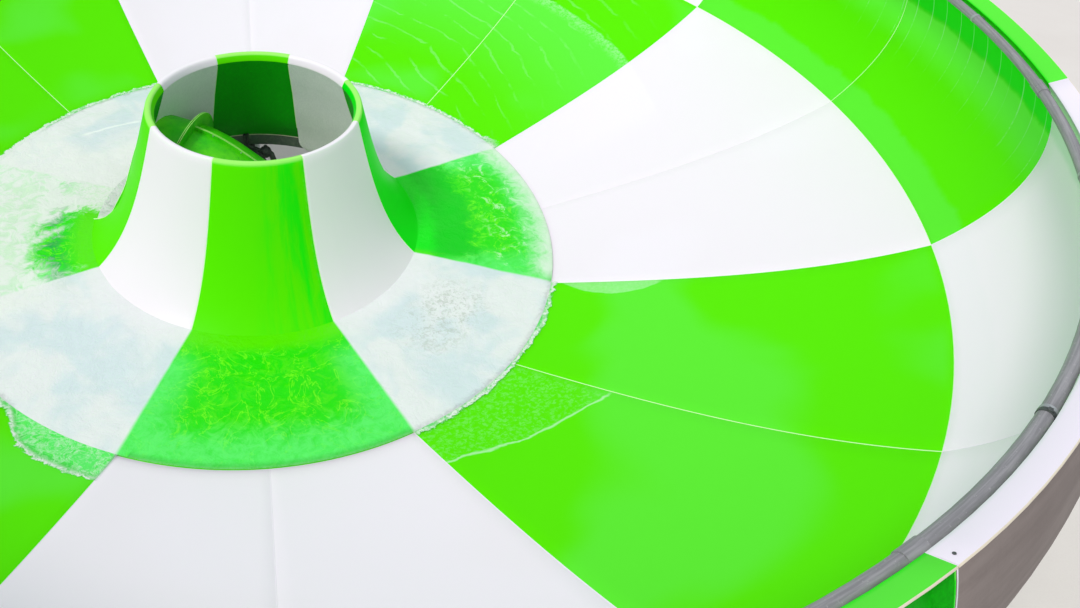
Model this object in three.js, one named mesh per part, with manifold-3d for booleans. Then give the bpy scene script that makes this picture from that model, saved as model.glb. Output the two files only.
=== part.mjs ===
// A bowl water slide 14 m across, standing on its steel frame.
// Millimetres, +Z up. The origin is on the bowl's axis, at ground level.
// Angles are counted from +X towards +Y. Heights marked "above the foot" are counted from the
// joint between the cone ring and the floor ring.
import * as THREE from "three";
import { mergeVertices } from "three/addons/utils/BufferGeometryUtils.js";
import Module from "manifold-3d";

const wasm = await Module();
wasm.setup();

// Driving dimensions
const footHeight = 3000; // joint between the cone ring and the floor ring, above the ground
const coneLip = 1550; // lip of the hollow cone, above the foot
const sectors = 8; // colour sectors round the bowl
const sectorTurn = 360 / sectors;
const shell = 12; // thickness of the moulded panels
const flangeDepth = 80; // depth of the panels' bolting flanges
const seam = 0.15; // half of the gap between neighbours
const clear = 0.3; // gap between pieces that rest on each other
const panelSteps = 4; // facets across a panel, the same in each ring so that their joints fit
const tubeRadius = 700; // inside of the exit tube
const tubeSides = 14;
const greenGrp = 0x5feb00;
const whiteGrp = 0xf0f1f7;
const steelGrey = 0x6d7274;
const pipeGrey = 0x929891;

// Colours
const finishes = {
  green: { color: greenGrp, roughness: 0.25, metalness: 0 },
  white: { color: whiteGrp, roughness: 0.3, metalness: 0 },
  steel: { color: steelGrey, roughness: 0.55, metalness: 0.7 },
  pipe: { color: pipeGrey, roughness: 0.45, metalness: 0.2 },
};

const rad = THREE.MathUtils.degToRad;
const V2 = (r, z) => new THREE.Vector2(r, z);
const V3 = (x, y, z) => new THREE.Vector3(x, y, z);

const slide = new THREE.Group();
slide.name = "bowl_water_slide";

function addPiece(name, geometry, finish) {
  const mesh = new THREE.Mesh(geometry, new THREE.MeshStandardMaterial(finishes[finish]));
  mesh.name = name;
  slide.add(mesh);
  return mesh;
}

// Booleans

function solidOf(geometry) {
  const merged = closedBody(geometry);
  return new wasm.Manifold(
    new wasm.Mesh({
      numProp: 3,
      vertProperties: new Float32Array(merged.attributes.position.array),
      triVerts: new Uint32Array(merged.index.array),
    }),
  );
}

function geometryOf(solid) {
  const mesh = solid.getMesh();
  const geometry = new THREE.BufferGeometry();
  geometry.setAttribute("position", new THREE.BufferAttribute(mesh.vertProperties, 3));
  geometry.setIndex(new THREE.BufferAttribute(mesh.triVerts, 1));
  geometry.computeVertexNormals();
  return geometry;
}

// The biggest body of a cut solid, without the crumbs beside it
const largest = (solid) =>
  solid.decompose().sort((a, b) => b.volume() - a.volume())[0];

const join = (solids) => solids.slice(1).reduce((sum, next) => sum.add(next), solids[0]);

// Shapes

// A closed section of r and z, swept round the axis through stations of angle and sideways offset.
// The offset moves a station's plane parallel to itself, which keeps a seam equally wide all along.
function sweptSector(section, stations) {
  const ring = THREE.ShapeUtils.isClockWise(section) ? [...section].reverse() : section;
  const count = ring.length;
  const positions = [];
  for (const station of stations) {
    for (const point of ring) {
      const angle = rad(station.angle) + Math.asin(station.offset / point.x);
      positions.push(point.x * Math.cos(angle), point.x * Math.sin(angle), point.y);
    }
  }
  const index = [];
  for (let s = 0; s < stations.length - 1; s++) {
    for (let i = 0; i < count; i++) {
      const a = s * count + i;
      const b = s * count + ((i + 1) % count);
      index.push(a, a + count, b, b, a + count, b + count);
    }
  }
  const last = (stations.length - 1) * count;
  for (const [a, b, c] of THREE.ShapeUtils.triangulateShape(ring, [])) {
    index.push(a, b, c);
    index.push(last + c, last + b, last + a);
  }
  const geometry = new THREE.BufferGeometry();
  geometry.setAttribute("position", new THREE.Float32BufferAttribute(positions, 3));
  geometry.setIndex(index);
  return facingOut(geometry);
}

// Turns every face round where the body came out inside out.
function facingOut(geometry) {
  const at = geometry.attributes.position;
  const order = geometry.index.array;
  const [a, b, c] = [V3(), V3(), V3()];
  let volume = 0;
  for (let i = 0; i < order.length; i += 3) {
    a.fromBufferAttribute(at, order[i]);
    b.fromBufferAttribute(at, order[i + 1]);
    c.fromBufferAttribute(at, order[i + 2]);
    volume += a.dot(b.cross(c));
  }
  if (volume < 0) {
    for (let i = 0; i < order.length; i += 3) {
      [order[i], order[i + 1]] = [order[i + 1], order[i]];
    }
  }
  return geometry;
}

// The same geometry with only its positions, and with shared vertices.
function closedBody(geometry) {
  const bare = geometry.index ? geometry.toNonIndexed() : geometry.clone();
  bare.deleteAttribute("normal");
  bare.deleteAttribute("uv");
  return mergeVertices(bare, 1e-3);
}

// A full ring with a closed section of r and z.
function ringBody(section, segments) {
  const geometry = new THREE.LatheGeometry([...section, section[0]], segments);
  geometry.rotateX(Math.PI / 2);
  return facingOut(closedBody(geometry));
}

// The two stations of a flange plate on one side of a seam.
const flangeStations = (angle, side) => [
  { angle, offset: side * seam },
  { angle, offset: side * (seam + shell) },
];

// The two stations of the flange plates along a joint between two mouldings of one colour.
const jointStations = (angle) => [{ angle, offset: -shell }, { angle, offset: shell }];

// The stations of a panel's shell, with the flange plates' own stations at both ends and in the
// middle. They are the same in all rings, jointed or not, so that the rings' joints fit.
function panelStations(from, to) {
  const middle = (from + to) / 2;
  const quarter = (to - from) / panelSteps;
  return [
    ...flangeStations(from, 1),
    { angle: middle - quarter, offset: 0 },
    ...jointStations(middle),
    { angle: middle + quarter, offset: 0 },
    ...flangeStations(to, -1).reverse(),
  ];
}

// The points of a curve moved away from the riders, square to the curve. At an end that meets
// another ring they move along the joint that both rings share.
function backOf(points, depth, joints = {}) {
  return points.map((point, i) => {
    const before = points[Math.max(i - 1, 0)];
    const after = points[Math.min(i + 1, points.length - 1)];
    const along = after.clone().sub(before).normalize();
    const square = V2(along.y, -along.x);
    const shared = i === 0 ? joints.start : i === points.length - 1 ? joints.end : undefined;
    return point.clone().addScaledVector(shared ?? square, depth);
  });
}

// Both ends drawn in by half a seam.
function trimmed(points) {
  const out = points.map((point) => point.clone());
  const first = out[1].clone().sub(out[0]).normalize();
  const last = out.at(-2).clone().sub(out.at(-1)).normalize();
  out[0].addScaledVector(first, seam);
  out.at(-1).addScaledVector(last, seam);
  return out;
}

const towards = (from, to, distance) => from.clone().add(to.clone().sub(from).setLength(distance));

const bezier = (a, b, c, d, steps) => new THREE.CubicBezierCurve(a, b, c, d).getPoints(steps);

const raised = (points) => points.map((point) => V2(point.x, point.y + footHeight));

// Running surfaces, from the cone's lip out to the rim, above the foot
const lipOuter = V2(1150, coneLip - 15);
const troughRadius = 2550;
const troughDip = -225;
const footRadius = 3345;
const kneeRadius = 6585;
const kneeHeight = 1412;
const rimRadius = 6754;
const rimHeight = 3143;

const coneSide = bezier(
  lipOuter, V2(1350, 750), V2(1550, troughDip), V2(troughRadius, troughDip), 6,
);
const troughSide = bezier(
  V2(troughRadius, troughDip), V2(2850, troughDip), V2(3100, -85), V2(footRadius, 0), 3,
);
const coneFront = raised(trimmed([...coneSide, ...troughSide.slice(1)]));
const floorFront = raised(trimmed(bezier(
  V2(footRadius, 0), V2(4600, 400), V2(5750, 810), V2(kneeRadius, kneeHeight), 5,
)));
const wallFront = raised(trimmed(bezier(
  V2(kneeRadius, kneeHeight), V2(7000, 1930), V2(7200, 2520), V2(rimRadius, rimHeight), 7,
)));

// Directions of the joints between the rings, away from the riders
const footJoint = V2(0.316, -0.949);
const kneeJoint = V2(0.776, -0.631);

// Cone ring: an outer skin that sweeps down into the trough, the lip, and the inner skin
const lipBand = raised([V2(1138, coneLip + 6), V2(1060, coneLip - 20), V2(1048, coneLip - 40)]);
const beamTop = footHeight + 190;
// The green inner skins stand on the ring beam; the white ones hang down in front of it.
const standingFoot = raised([V2(1354, 435), V2(1500, 190)]);
const hangingFoot = raised([V2(1354, 435), V2(1416, 190), V2(1452, 45)]);

const insideFace = (foot) =>
  [...foot].reverse().concat(raised([V2(1209, 1015)]), [...lipBand].reverse());

function coneShell(foot) {
  const front = [...insideFace(foot), ...coneFront];
  const back = backOf(front, shell, { end: footJoint });
  const deep = coneFront.at(-1).clone().addScaledVector(footJoint, flangeDepth);
  return [...front, deep, deep.clone().add(V2(-shell, 0)), ...back.reverse().slice(1)];
}

function coneWeb(foot) {
  const deep = backOf(coneFront, flangeDepth, { end: footJoint }).reverse();
  const above = deep.findIndex((point) => point.y > beamTop);
  const [low, high] = [deep[above - 1], deep[above]];
  const corner = low.clone().lerp(high, (beamTop - low.y) / (high.y - low.y));
  const standing = foot.filter((point) => point.y >= beamTop);
  return [...insideFace(standing), ...coneFront, ...deep.slice(0, above), corner];
}

// Floor ring: a dished shell with its bolting flanges turned down
const floorJoints = { start: footJoint, end: kneeJoint };

function floorShell() {
  const back = backOf(floorFront, shell, floorJoints);
  const deep = backOf(floorFront, flangeDepth, floorJoints);
  return [
    ...floorFront,
    deep.at(-1),
    towards(deep.at(-1), deep.at(-2), shell),
    ...back.slice(1, -1).reverse(),
    towards(deep[0], deep[1], shell),
    deep[0],
  ];
}

const floorWeb = () => [...floorFront, ...backOf(floorFront, flangeDepth, floorJoints).reverse()];

// Wall ring: the curled wall, the rim flange, and the outer skin of the boxed panels
const flangeWidth = 130;
const jointDepth = 60; // depth of the flanges down the middle of the open wall panels
const flangeTilt = rad(32);
const rimFlange = V2(
  rimRadius + flangeWidth * Math.cos(flangeTilt),
  footHeight + rimHeight + flangeWidth * Math.sin(flangeTilt),
);
const skinFoot = wallFront[0].clone().addScaledVector(kneeJoint, flangeDepth - 4);
const outerSkin = bezier(
  skinFoot, V2(7060, footHeight + 1870), V2(7200, footHeight + 2550), rimFlange, 5,
);

function wallWeb() {
  return [...wallFront, ...[...outerSkin].reverse()];
}

const wallJoint = () => [...wallFront, ...backOf(wallFront, jointDepth, { start: kneeJoint }).reverse()];

function boxedWall() {
  const back = backOf(wallFront, shell, { start: kneeJoint }).reverse();
  const inside = backOf(outerSkin, -shell, { start: kneeJoint });
  return [...wallFront, ...[...outerSkin].reverse(), ...inside.slice(0, -1), ...back];
}

function openWall() {
  const back = backOf(wallFront, shell, { start: kneeJoint }).reverse();
  const under = rimFlange.clone().add(V2(shell * Math.sin(flangeTilt), -shell * Math.cos(flangeTilt)));
  return [...wallFront, rimFlange, under, ...back];
}

// Panels

// A panel between two seams: its shell, a flange plate along each seam, and perhaps one at its middle
function panel(from, shellSection, webSection, jointSection) {
  const to = from + sectorTurn;
  const pieces = [
    solidOf(sweptSector(shellSection, panelStations(from, to))),
    solidOf(sweptSector(webSection, flangeStations(from, 1))),
    solidOf(sweptSector(webSection, flangeStations(to, -1))),
  ];
  if (jointSection) {
    pieces.push(solidOf(sweptSector(jointSection, jointStations((from + to) / 2))));
  }
  return largest(join(pieces));
}

const sectorNames = [
  "east", "north_east", "north", "north_west", "west", "south_west", "south", "south_east",
];

// The solid inside the running surfaces, with or without a skin's thickness round it
function bowlInside(depth) {
  const edge = backOf([...floorFront, ...wallFront], depth);
  const low = footHeight - 900;
  const high = footHeight + rimHeight + 600;
  const outline = [V2(0, low), V2(footRadius, low), ...edge, V2(rimRadius, high), V2(0, high)];
  const geometry = new THREE.LatheGeometry(outline, 64);
  geometry.rotateX(Math.PI / 2);
  return solidOf(facingOut(closedBody(geometry)));
}

// Exit tube: it leaves the trough through a portal in the cone, drops under the trough at the
// far side of the cone, and levels out under the rim.
const exitTurn = -22.5; // direction of the way out
const exitWall = 10;
const exitStart = -2600; // along the way out, counted from the bowl's axis
const exitEnd = 6560;
const finAt = -1000; // joint ring inside the cone
const dropEnd = 700; // further joints, along the way out
const sweepEnd = 1950;
const bendEnd = 3300;
const ringWidth = 60; // the tube's joint rings
const ringThick = 24;
const finRise = 70; // how much the ring at the fin is taller at its crown
const slopeStart = exitStart - 400;
const startHeight = footHeight + 525; // middle of the tube's line where its slopes are counted from
// Places where the slope of the tube changes, with the slope there; it changes evenly between
const exitSlopes = [
  [slopeStart, 0.1], [finAt + 30, 0.1], [-600, 0.58], [1500, 0.58], [3300, 0.06], [exitEnd + 400, 0.06],
];
// The lengths of the tube below the portal, each by the places where its rings of points stand
const exitLengths = {
  drop: [finAt + clear, finAt + 30, -800, -600, dropEnd],
  sweep: [dropEnd + clear, 1500, sweepEnd],
  bend: [sweepEnd + clear, 2410, 2870, bendEnd],
  runout: [bendEnd + clear, exitEnd],
};

// Height of the tube's middle at a distance from the axis, along the way out
function exitHeight(along) {
  let height = startHeight;
  for (let i = 1; i < exitSlopes.length; i++) {
    const [from, slope] = exitSlopes[i - 1];
    const [to, next] = exitSlopes[i];
    const reached = Math.min(along, to) - from;
    if (reached <= 0) break;
    const there = slope + ((next - slope) * reached) / (to - from);
    height -= ((slope + there) / 2) * reached;
  }
  return height;
}

function exitPoint(along) {
  const turn = rad(exitTurn);
  return V3(along * Math.cos(turn), along * Math.sin(turn), exitHeight(along));
}

const exitAcross = V3(-Math.sin(rad(exitTurn)), Math.cos(rad(exitTurn)), 0);

function exitUp(along) {
  const ahead = exitPoint(along + 1).sub(exitPoint(along - 1)).normalize();
  return V3().crossVectors(ahead, exitAcross).normalize();
}

// A round bar along the way out, with a ring of points at each of its places
function exitBody(places, radius, lift = 0) {
  return ringsBody(places.map((along) => {
    const up = exitUp(along);
    const middle = exitPoint(along).addScaledVector(up, lift);
    return roundOf(middle, exitAcross, up, radius, tubeSides);
  }));
}

function roundOf(middle, across, up, radius, sides) {
  return Array.from({ length: sides }, (_, i) => {
    const angle = ((i + 0.5) / sides) * 2 * Math.PI;
    const point = middle.clone().addScaledVector(across, radius * Math.cos(angle));
    return point.addScaledVector(up, radius * Math.sin(angle));
  });
}

// A closed body through rings of points, each with the same number of points
function ringsBody(rings) {
  const sides = rings[0].length;
  const index = [];
  for (let s = 0; s < rings.length - 1; s++) {
    for (let i = 0; i < sides; i++) {
      const a = s * sides + i;
      const b = s * sides + ((i + 1) % sides);
      index.push(a, b, a + sides, b, b + sides, a + sides);
    }
  }
  const last = (rings.length - 1) * sides;
  for (let i = 1; i < sides - 1; i++) {
    index.push(0, i + 1, i);
    index.push(last, last + i, last + i + 1);
  }
  const geometry = new THREE.BufferGeometry();
  geometry.setFromPoints(rings.flat());
  geometry.setIndex(index);
  return solidOf(facingOut(geometry));
}

const ringRadius = tubeRadius + exitWall + ringWidth;

// The ring on the end of a length of tube; the one at the fin has a taller crown
function exitRing(from, to) {
  const ring = exitBody([from, to], ringRadius);
  const atFin = Math.abs(from - finAt) < 2 * ringThick;
  return atFin ? ring.add(exitBody([from, to], ringRadius, finRise)) : ring;
}

// Where the tube passes through the cone and its ring beam
const passageEnd = -300;
const conePassage = [exitStart, finAt, passageEnd];
const beamSpace = 40; // room round the tube in the ring beam

// A length of tube between two places, with a joint ring at its lower end and perhaps its upper
function exitSection(places, ringAtStart) {
  const from = places[0];
  const to = places.at(-1);
  const pieces = [exitBody(places, tubeRadius + exitWall), exitRing(to - ringThick, to)];
  if (ringAtStart) {
    pieces.push(exitRing(from, from + ringThick));
  }
  const bore = exitBody([from - 200, ...places.slice(1, -1), to + 200], tubeRadius);
  return join(pieces).subtract(bore);
}

// The left or the right half of a length of tube; side is 1 on the left of the way out
const exitHalf = (tube, side) =>
  tube.trimByPlane(exitAcross.clone().multiplyScalar(side).toArray(), seam);

// Entry flume: an open channel that comes in through the wall along its own tangent
const flumeX = -6150;
const flumeWidth = 1300;
const flumeBottom = footHeight + 2050;
const flumeTop = footHeight + 2950;
const flumeWall = 12;
const flumeBend = 420; // radius of its lower corners, inside
const flumeStart = 1500;
const flumeEnd = Math.max(...backOf(wallFront, shell).map((point) => point.x)); // flush with the wall
const flumeFlange = 70;

function box(width, depth, height, x, y, z) {
  const geometry = new THREE.BoxGeometry(width, depth, height);
  geometry.translate(x, y, z + height / 2);
  return solidOf(geometry);
}

// A bar along the flume with the channel's round-cornered section, grown by a distance at its sides
// and bottom, and up to a height
function channelBar(grown, top, from, to) {
  const half = flumeWidth / 2;
  const middle = flumeBottom + flumeBend;
  const outline = [V2(half + grown, top), V2(-half - grown, top)];
  for (const [side, turns] of [[-1, [180, 202.5, 225, 247.5, 270]], [1, [270, 292.5, 315, 337.5, 360]]]) {
    for (const turn of turns) {
      const reach = flumeBend + grown;
      outline.push(V2(
        side * (half - flumeBend) + reach * Math.cos(rad(turn)), middle + reach * Math.sin(rad(turn)),
      ));
    }
  }
  const geometry = new THREE.ExtrudeGeometry(new THREE.Shape(outline), {
    depth: to - from,
    bevelEnabled: false,
  });
  geometry.rotateX(Math.PI / 2);
  geometry.translate(flumeX, to, 0);
  return solidOf(facingOut(closedBody(geometry)));
}

function flumeBody() {
  const outer = channelBar(flumeWall, flumeTop, flumeStart, flumeEnd);
  const collar = channelBar(flumeFlange, flumeTop, flumeEnd - shell, flumeEnd);
  const inner = channelBar(0, flumeTop + 100, flumeStart - 100, flumeEnd + 100);
  return join([outer, collar]).subtract(inner);
}

// What the flume takes out of the wall and its skin
const flumePassage = () =>
  channelBar(flumeWall + clear, flumeBottom + 3000, flumeStart - 100, flumeEnd + 800);

// A flat plate standing in the radial plane at an angle, from an outline of r and z
function radialPlate(outline, angle, width) {
  const geometry = new THREE.ExtrudeGeometry(new THREE.Shape(outline), {
    depth: width,
    bevelEnabled: false,
  });
  geometry.translate(0, 0, -width / 2);
  geometry.rotateX(Math.PI / 2);
  geometry.rotateZ(rad(angle));
  return solidOf(facingOut(closedBody(geometry)));
}

function post(radius, from, to, x, y, sides = 12) {
  const geometry = new THREE.CylinderGeometry(radius, radius, to - from, sides);
  geometry.rotateX(Math.PI / 2);
  geometry.translate(x, y, (from + to) / 2);
  return solidOf(geometry);
}

const circle = (r, z, radius, sides, start = 0) =>
  Array.from({ length: sides }, (_, i) => {
    const angle = start + (i / sides) * 2 * Math.PI;
    return V2(r + radius * Math.cos(angle), z + radius * Math.sin(angle));
  });

const around = (r, angle) => [r * Math.cos(rad(angle)), r * Math.sin(rad(angle))];

// Ring pipes that carry the panels' flanges, at the knee and at the foot
const kneePipe = 84;
const footPipe = 70;
const facetSlack = 0.65; // a faceted ring stands this much closer beside its corners
const kneeShare = 0.22; // where the rings stand, as shares of the first and last facets of the floor
const footShare = 0.12;
const flangeLine = backOf(floorFront, flangeDepth + clear, floorJoints);
const kneeSeat = flangeLine.at(-1).clone().lerp(flangeLine.at(-2), kneeShare);
const kneeSlope = flangeLine.at(-1).clone().sub(flangeLine.at(-2)).normalize();
const kneeCentre = kneeSeat.clone().addScaledVector(V2(kneeSlope.y, -kneeSlope.x), kneePipe + facetSlack);
const footSlope = flangeLine[1].clone().sub(flangeLine[0]).normalize();
const footSeat = flangeLine[0].clone().lerp(flangeLine[1], footShare);
const footCentre = footSeat.clone().addScaledVector(V2(footSlope.y, -footSlope.x), footPipe + facetSlack);
const ringSegments = (360 / sectorTurn) * panelSteps;
const seatAngle = (slope) => Math.atan2(slope.x, -slope.y);
const kneeRing = (radius) => ringBody(
  circle(kneeCentre.x, kneeCentre.y, radius, 8, seatAngle(kneeSlope)), ringSegments,
);
const footRing = (radius) => ringBody(
  circle(footCentre.x, footCentre.y, radius, 8, seatAngle(footSlope)), ringSegments,
);

// Support frames: an outer and an inner column with a girder that follows the floor's flanges
const outerColumnR = 6380;
const innerColumnR = 3260;
const outerColumn = 110;
const innerColumn = 84;
const girderWidth = 110;
const girderDepth = 300;
const girderNose = 180; // the girder's reach inwards of the inner column
const girderTail = 160; // its reach outwards of the knee ring's middle
const tailTop = 60; // its end's top, below the knee flanges
const tailFoot = 130; // its end's foot, below the knee ring's middle
const basePlate = 460;
const innerPlate = 380;
const basePlateThick = 25;

function supportFrame(angle) {
  const nose = innerColumnR - girderNose;
  const tail = kneeCentre.x + girderTail;
  const foot = footCentre.y - girderDepth;
  const outline = [
    V2(nose, footCentre.y - girderDepth / 2),
    ...flangeLine,
    V2(tail, flangeLine.at(-1).y - tailTop),
    V2(tail, kneeCentre.y - tailFoot),
    V2(innerColumnR + girderWidth, foot),
    V2(nose, foot),
  ];
  const girder = radialPlate(outline, angle, girderWidth);
  const outer = around(outerColumnR, angle);
  const inner = around(innerColumnR, angle);
  const rings = solidOf(kneeRing(kneePipe + clear)).add(solidOf(footRing(footPipe + clear)));
  return join([
    girder,
    post(outerColumn, 0, kneeCentre.y - 2 * tailFoot, ...outer),
    post(innerColumn, 0, footCentre.y - 0.8 * girderDepth, ...inner),
    turnedBox(basePlate, basePlate, basePlateThick, outerColumnR, 0, angle),
    turnedBox(innerPlate, innerPlate, basePlateThick, innerColumnR, 0, angle),
  ]).subtract(rings);
}

// A box whose middle is at radius r and whose foot is at height z, turned to an angle
function turnedBox(length, width, height, r, z, angle) {
  const geometry = new THREE.BoxGeometry(length, width, height);
  geometry.translate(r, 0, z + height / 2);
  geometry.rotateZ(rad(angle));
  return solidOf(geometry);
}

// Ring beam under the cone's inner skin, on four posts, open where the exit tube passes
const coneRingInner = 1494;
const coneRingOuter = 1574;
const coneRingHeight = 150;
const conePost = 38;
const conePostR = 1534;
const conePostTurns = [22.5, 112.5, -67.5, -157.5];
const smallPlate = 240; // base plates of the thin posts and pipes
const smallPlateThick = 20;

function coneRingFrame() {
  const top = beamTop - clear;
  const section = [
    V2(coneRingInner, top - coneRingHeight), V2(coneRingOuter, top - coneRingHeight),
    V2(coneRingOuter, top), V2(coneRingInner, top),
  ];
  const pieces = [solidOf(ringBody(section, ringSegments))];
  for (const angle of conePostTurns) {
    pieces.push(post(conePost, 0, top - coneRingHeight / 2, ...around(conePostR, angle)));
    pieces.push(turnedBox(smallPlate, smallPlate, smallPlateThick, conePostR, 0, angle));
  }
  return join(pieces).subtract(exitBody(conePassage, tubeRadius + exitWall + beamSpace));
}

// Spray pipe along the inside of the rim, with clamps to the wall at the middle of each facet pair
const sprayRadius = 38;
const clampWidth = 30;
const clampLow = 25; // the clamps' lower and upper faces, from the pipe's middle
const clampHigh = 5;
const firstClamp = -191.25;
const sprayR = 6720;
const sprayZ = footHeight + 3085;

function wallRadiusAt(z) {
  for (let i = 1; i < wallFront.length; i++) {
    const [low, high] = [wallFront[i - 1], wallFront[i]];
    if (z <= high.y) return low.x + ((high.x - low.x) * (z - low.y)) / (high.y - low.y);
  }
  return rimRadius;
}

function sprayPipe(from, to) {
  const steps = Math.round((to - from) / (sectorTurn / panelSteps));
  const stations = Array.from({ length: steps + 1 }, (_, i) => ({
    angle: from + ((to - from) * i) / steps,
    offset: i === 0 ? seam : i === steps ? -seam : 0,
  }));
  const pieces = [solidOf(sweptSector(circle(sprayR, sprayZ, sprayRadius, 8), stations))];
  const inset = clear + (clampWidth / 2) * Math.tan(rad(sectorTurn / panelSteps / 2));
  for (let angle = firstClamp; angle < 180; angle += sectorTurn / 2) {
    if (angle < from || angle > to) continue;
    const low = sprayZ - clampLow;
    const high = sprayZ + clampHigh;
    const outline = [
      V2(sprayR, low), V2(wallRadiusAt(low) - inset, low),
      V2(wallRadiusAt(high) - inset, high), V2(sprayR, high),
    ];
    pieces.push(radialPlate(outline, angle, clampWidth));
  }
  return join(pieces);
}

// A round pipe through points that lie in one plane, mitred at each; side is square to the plane
function pipeThrough(points, radius, side, sides = 8) {
  return ringsBody(points.map((point, i) => {
    const before = points[Math.max(i - 1, 0)];
    const after = points[Math.min(i + 1, points.length - 1)];
    const arriving = point.clone().sub(before).normalize();
    const leaving = after.clone().sub(point).normalize();
    const along = arriving.clone().add(leaving).normalize();
    const spread = 1 / Math.max(along.dot(i ? arriving : leaving), 0.5);
    const square = V3().crossVectors(side, along).multiplyScalar(spread);
    return roundOf(point, side, square, radius, sides);
  }));
}

// The same points with each inner corner cut into a short bend
function rounded(points, radius) {
  const out = [points[0]];
  for (let i = 1; i < points.length - 1; i++) {
    const corner = points[i];
    const before = corner.clone().add(points[i - 1].clone().sub(corner).setLength(radius));
    const after = corner.clone().add(points[i + 1].clone().sub(corner).setLength(radius));
    out.push(...new THREE.QuadraticBezierCurve3(before, corner, after).getPoints(3));
  }
  return [...out, points.at(-1)];
}

// Feed pipe that climbs outside the bowl and comes down over the rim onto the spray pipe
const riserTurn = 45;
const riserR = 7320;
const riserTop = footHeight + rimHeight + 260;
const riserRadius = 36;
const riserBend = 140;
const riserInset = 28; // its end, inwards of the spray pipe's middle

function feedRiser() {
  const at = (r, z) => V3(...around(r, riserTurn), z);
  const end = sprayZ + sprayRadius + clear;
  const inner = sprayR - riserInset;
  const path = rounded(
    [at(riserR, 0), at(riserR, riserTop), at(inner, riserTop), at(inner, end)], riserBend,
  );
  const side = V3(-Math.sin(rad(riserTurn)), Math.cos(rad(riserTurn)), 0);
  return join([
    pipeThrough(path, riserRadius, side),
    turnedBox(smallPlate, smallPlate, smallPlateThick, riserR, 0, riserTurn),
  ]);
}

// Feed pipe inside the cone, with an elbow under the ring beam
const coneFeedRadius = 45;
const coneFeedBend = 90;
const hangerWidth = 50;
const hangerDrop = 140;

function coneFeed() {
  const low = beamTop - coneRingHeight - clear;
  const foot = V3(120, 1250, 0);
  const elbow = V3(foot.x, foot.y, low - 130);
  const end = V3(-60, 1530, low - 60);
  const side = V3().crossVectors(V3(0, 0, 1), end.clone().sub(elbow)).normalize();
  return join([
    pipeThrough(rounded([foot, elbow, end], coneFeedBend), coneFeedRadius, side),
    box(hangerWidth, hangerWidth, hangerDrop, end.x, end.y, low - hangerDrop),
    box(smallPlate, smallPlate, smallPlateThick, foot.x, foot.y, 0),
  ]);
}

// Saddles that carry the exit tube
const saddleThick = 70;
const saddleWidth = 1500;
const saddleBelow = 150; // top of a saddle, below the tube's middle
const saddleFoot = 300;
const saddleFootWidth = 1600;
const saddlePlaces = [3950, 5900]; // along the way out

function exitSaddle(along) {
  const middle = exitPoint(along);
  const height = middle.z - saddleBelow;
  const geometry = new THREE.BoxGeometry(saddleThick, saddleWidth, height);
  geometry.translate(0, 0, height / 2);
  const foot = new THREE.BoxGeometry(saddleFoot, saddleFootWidth, smallPlateThick);
  foot.translate(0, 0, smallPlateThick / 2);
  for (const part of [geometry, foot]) {
    part.rotateZ(rad(exitTurn));
    part.translate(middle.x, middle.y, 0);
  }
  const near = [along - saddleFoot, along + saddleFoot];
  const space = exitBody(near, tubeRadius + exitWall + 2 * clear);
  return solidOf(geometry).add(solidOf(foot)).subtract(space);
}

// Column under the entry flume, with a cradle for its round corners
const flumeColumn = 84;
const flumeColumnInset = 420; // from the flume's collar
const cradleWidth = 1240;
const cradleThick = 160;
const cradleHeight = 340;
const cradleFloor = 60;

function flumeSupport() {
  const top = flumeBottom - flumeWall - clear;
  const y = flumeEnd - flumeColumnInset;
  return join([
    post(flumeColumn, 0, top - cradleFloor / 2, flumeX, y),
    box(basePlate, basePlate, basePlateThick, flumeX, y, 0),
    box(cradleWidth, cradleThick, cradleHeight, flumeX, y, top - cradleFloor),
  ]).subtract(channelBar(flumeWall + clear, flumeTop, y - cradleThick, y + cradleThick));
}

for (let i = 0; i < sectors; i++) {
  const from = i * sectorTurn - sectorTurn / 2;
  const main = i % 2 === 0 ? "green" : "white";
  const other = i % 2 === 0 ? "white" : "green";
  const name = sectorNames[i];
  const portal = exitBody(conePassage, tubeRadius + exitWall + clear);
  const foot = main === "green" ? standingFoot : hangingFoot;
  const cone = panel(from, coneShell(foot), coneWeb(foot));
  const wall = main === "green"
    ? panel(from, openWall(), wallWeb(), wallJoint())
    : panel(from, boxedWall(), wallWeb());
  const atPortal = name === "west" || name === "north_west";
  addPiece("cone_panel_" + name, geometryOf(atPortal ? cone.subtract(portal) : cone), main);
  addPiece("floor_panel_" + name, geometryOf(panel(from, floorShell(), floorWeb(), floorWeb())), other);
  addPiece("wall_panel_" + name, geometryOf(atPortal ? wall.subtract(flumePassage()) : wall), main);
}

// The space that the water and the riders use round the cone
function troughSpace() {
  const top = footHeight + coneLip + flangeDepth;
  const outline = [...coneFront, V2(footRadius, top), V2(lipOuter.x, top)];
  return solidOf(ringBody(outline, ringSegments));
}

// Exit tube
const portalTube = exitSection([exitStart, finAt], false).subtract(troughSpace());
addPiece("exit_portal", geometryOf(largest(portalTube)), "green");
for (const [length, places] of Object.entries(exitLengths)) {
  const tube = exitSection(places, true);
  addPiece("exit_" + length + "_left", geometryOf(exitHalf(tube, 1)), "green");
  addPiece("exit_" + length + "_right", geometryOf(exitHalf(tube, -1)), "green");
}
addPiece("exit_saddle_inner", geometryOf(exitSaddle(saddlePlaces[0])), "steel");
addPiece("exit_saddle_outer", geometryOf(exitSaddle(saddlePlaces[1])), "steel");

// Entry flume
addPiece("entry_flume", geometryOf(largest(flumeBody().subtract(bowlInside(shell / 2)))), "green");
addPiece("entry_flume_support", geometryOf(flumeSupport()), "steel");

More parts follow.
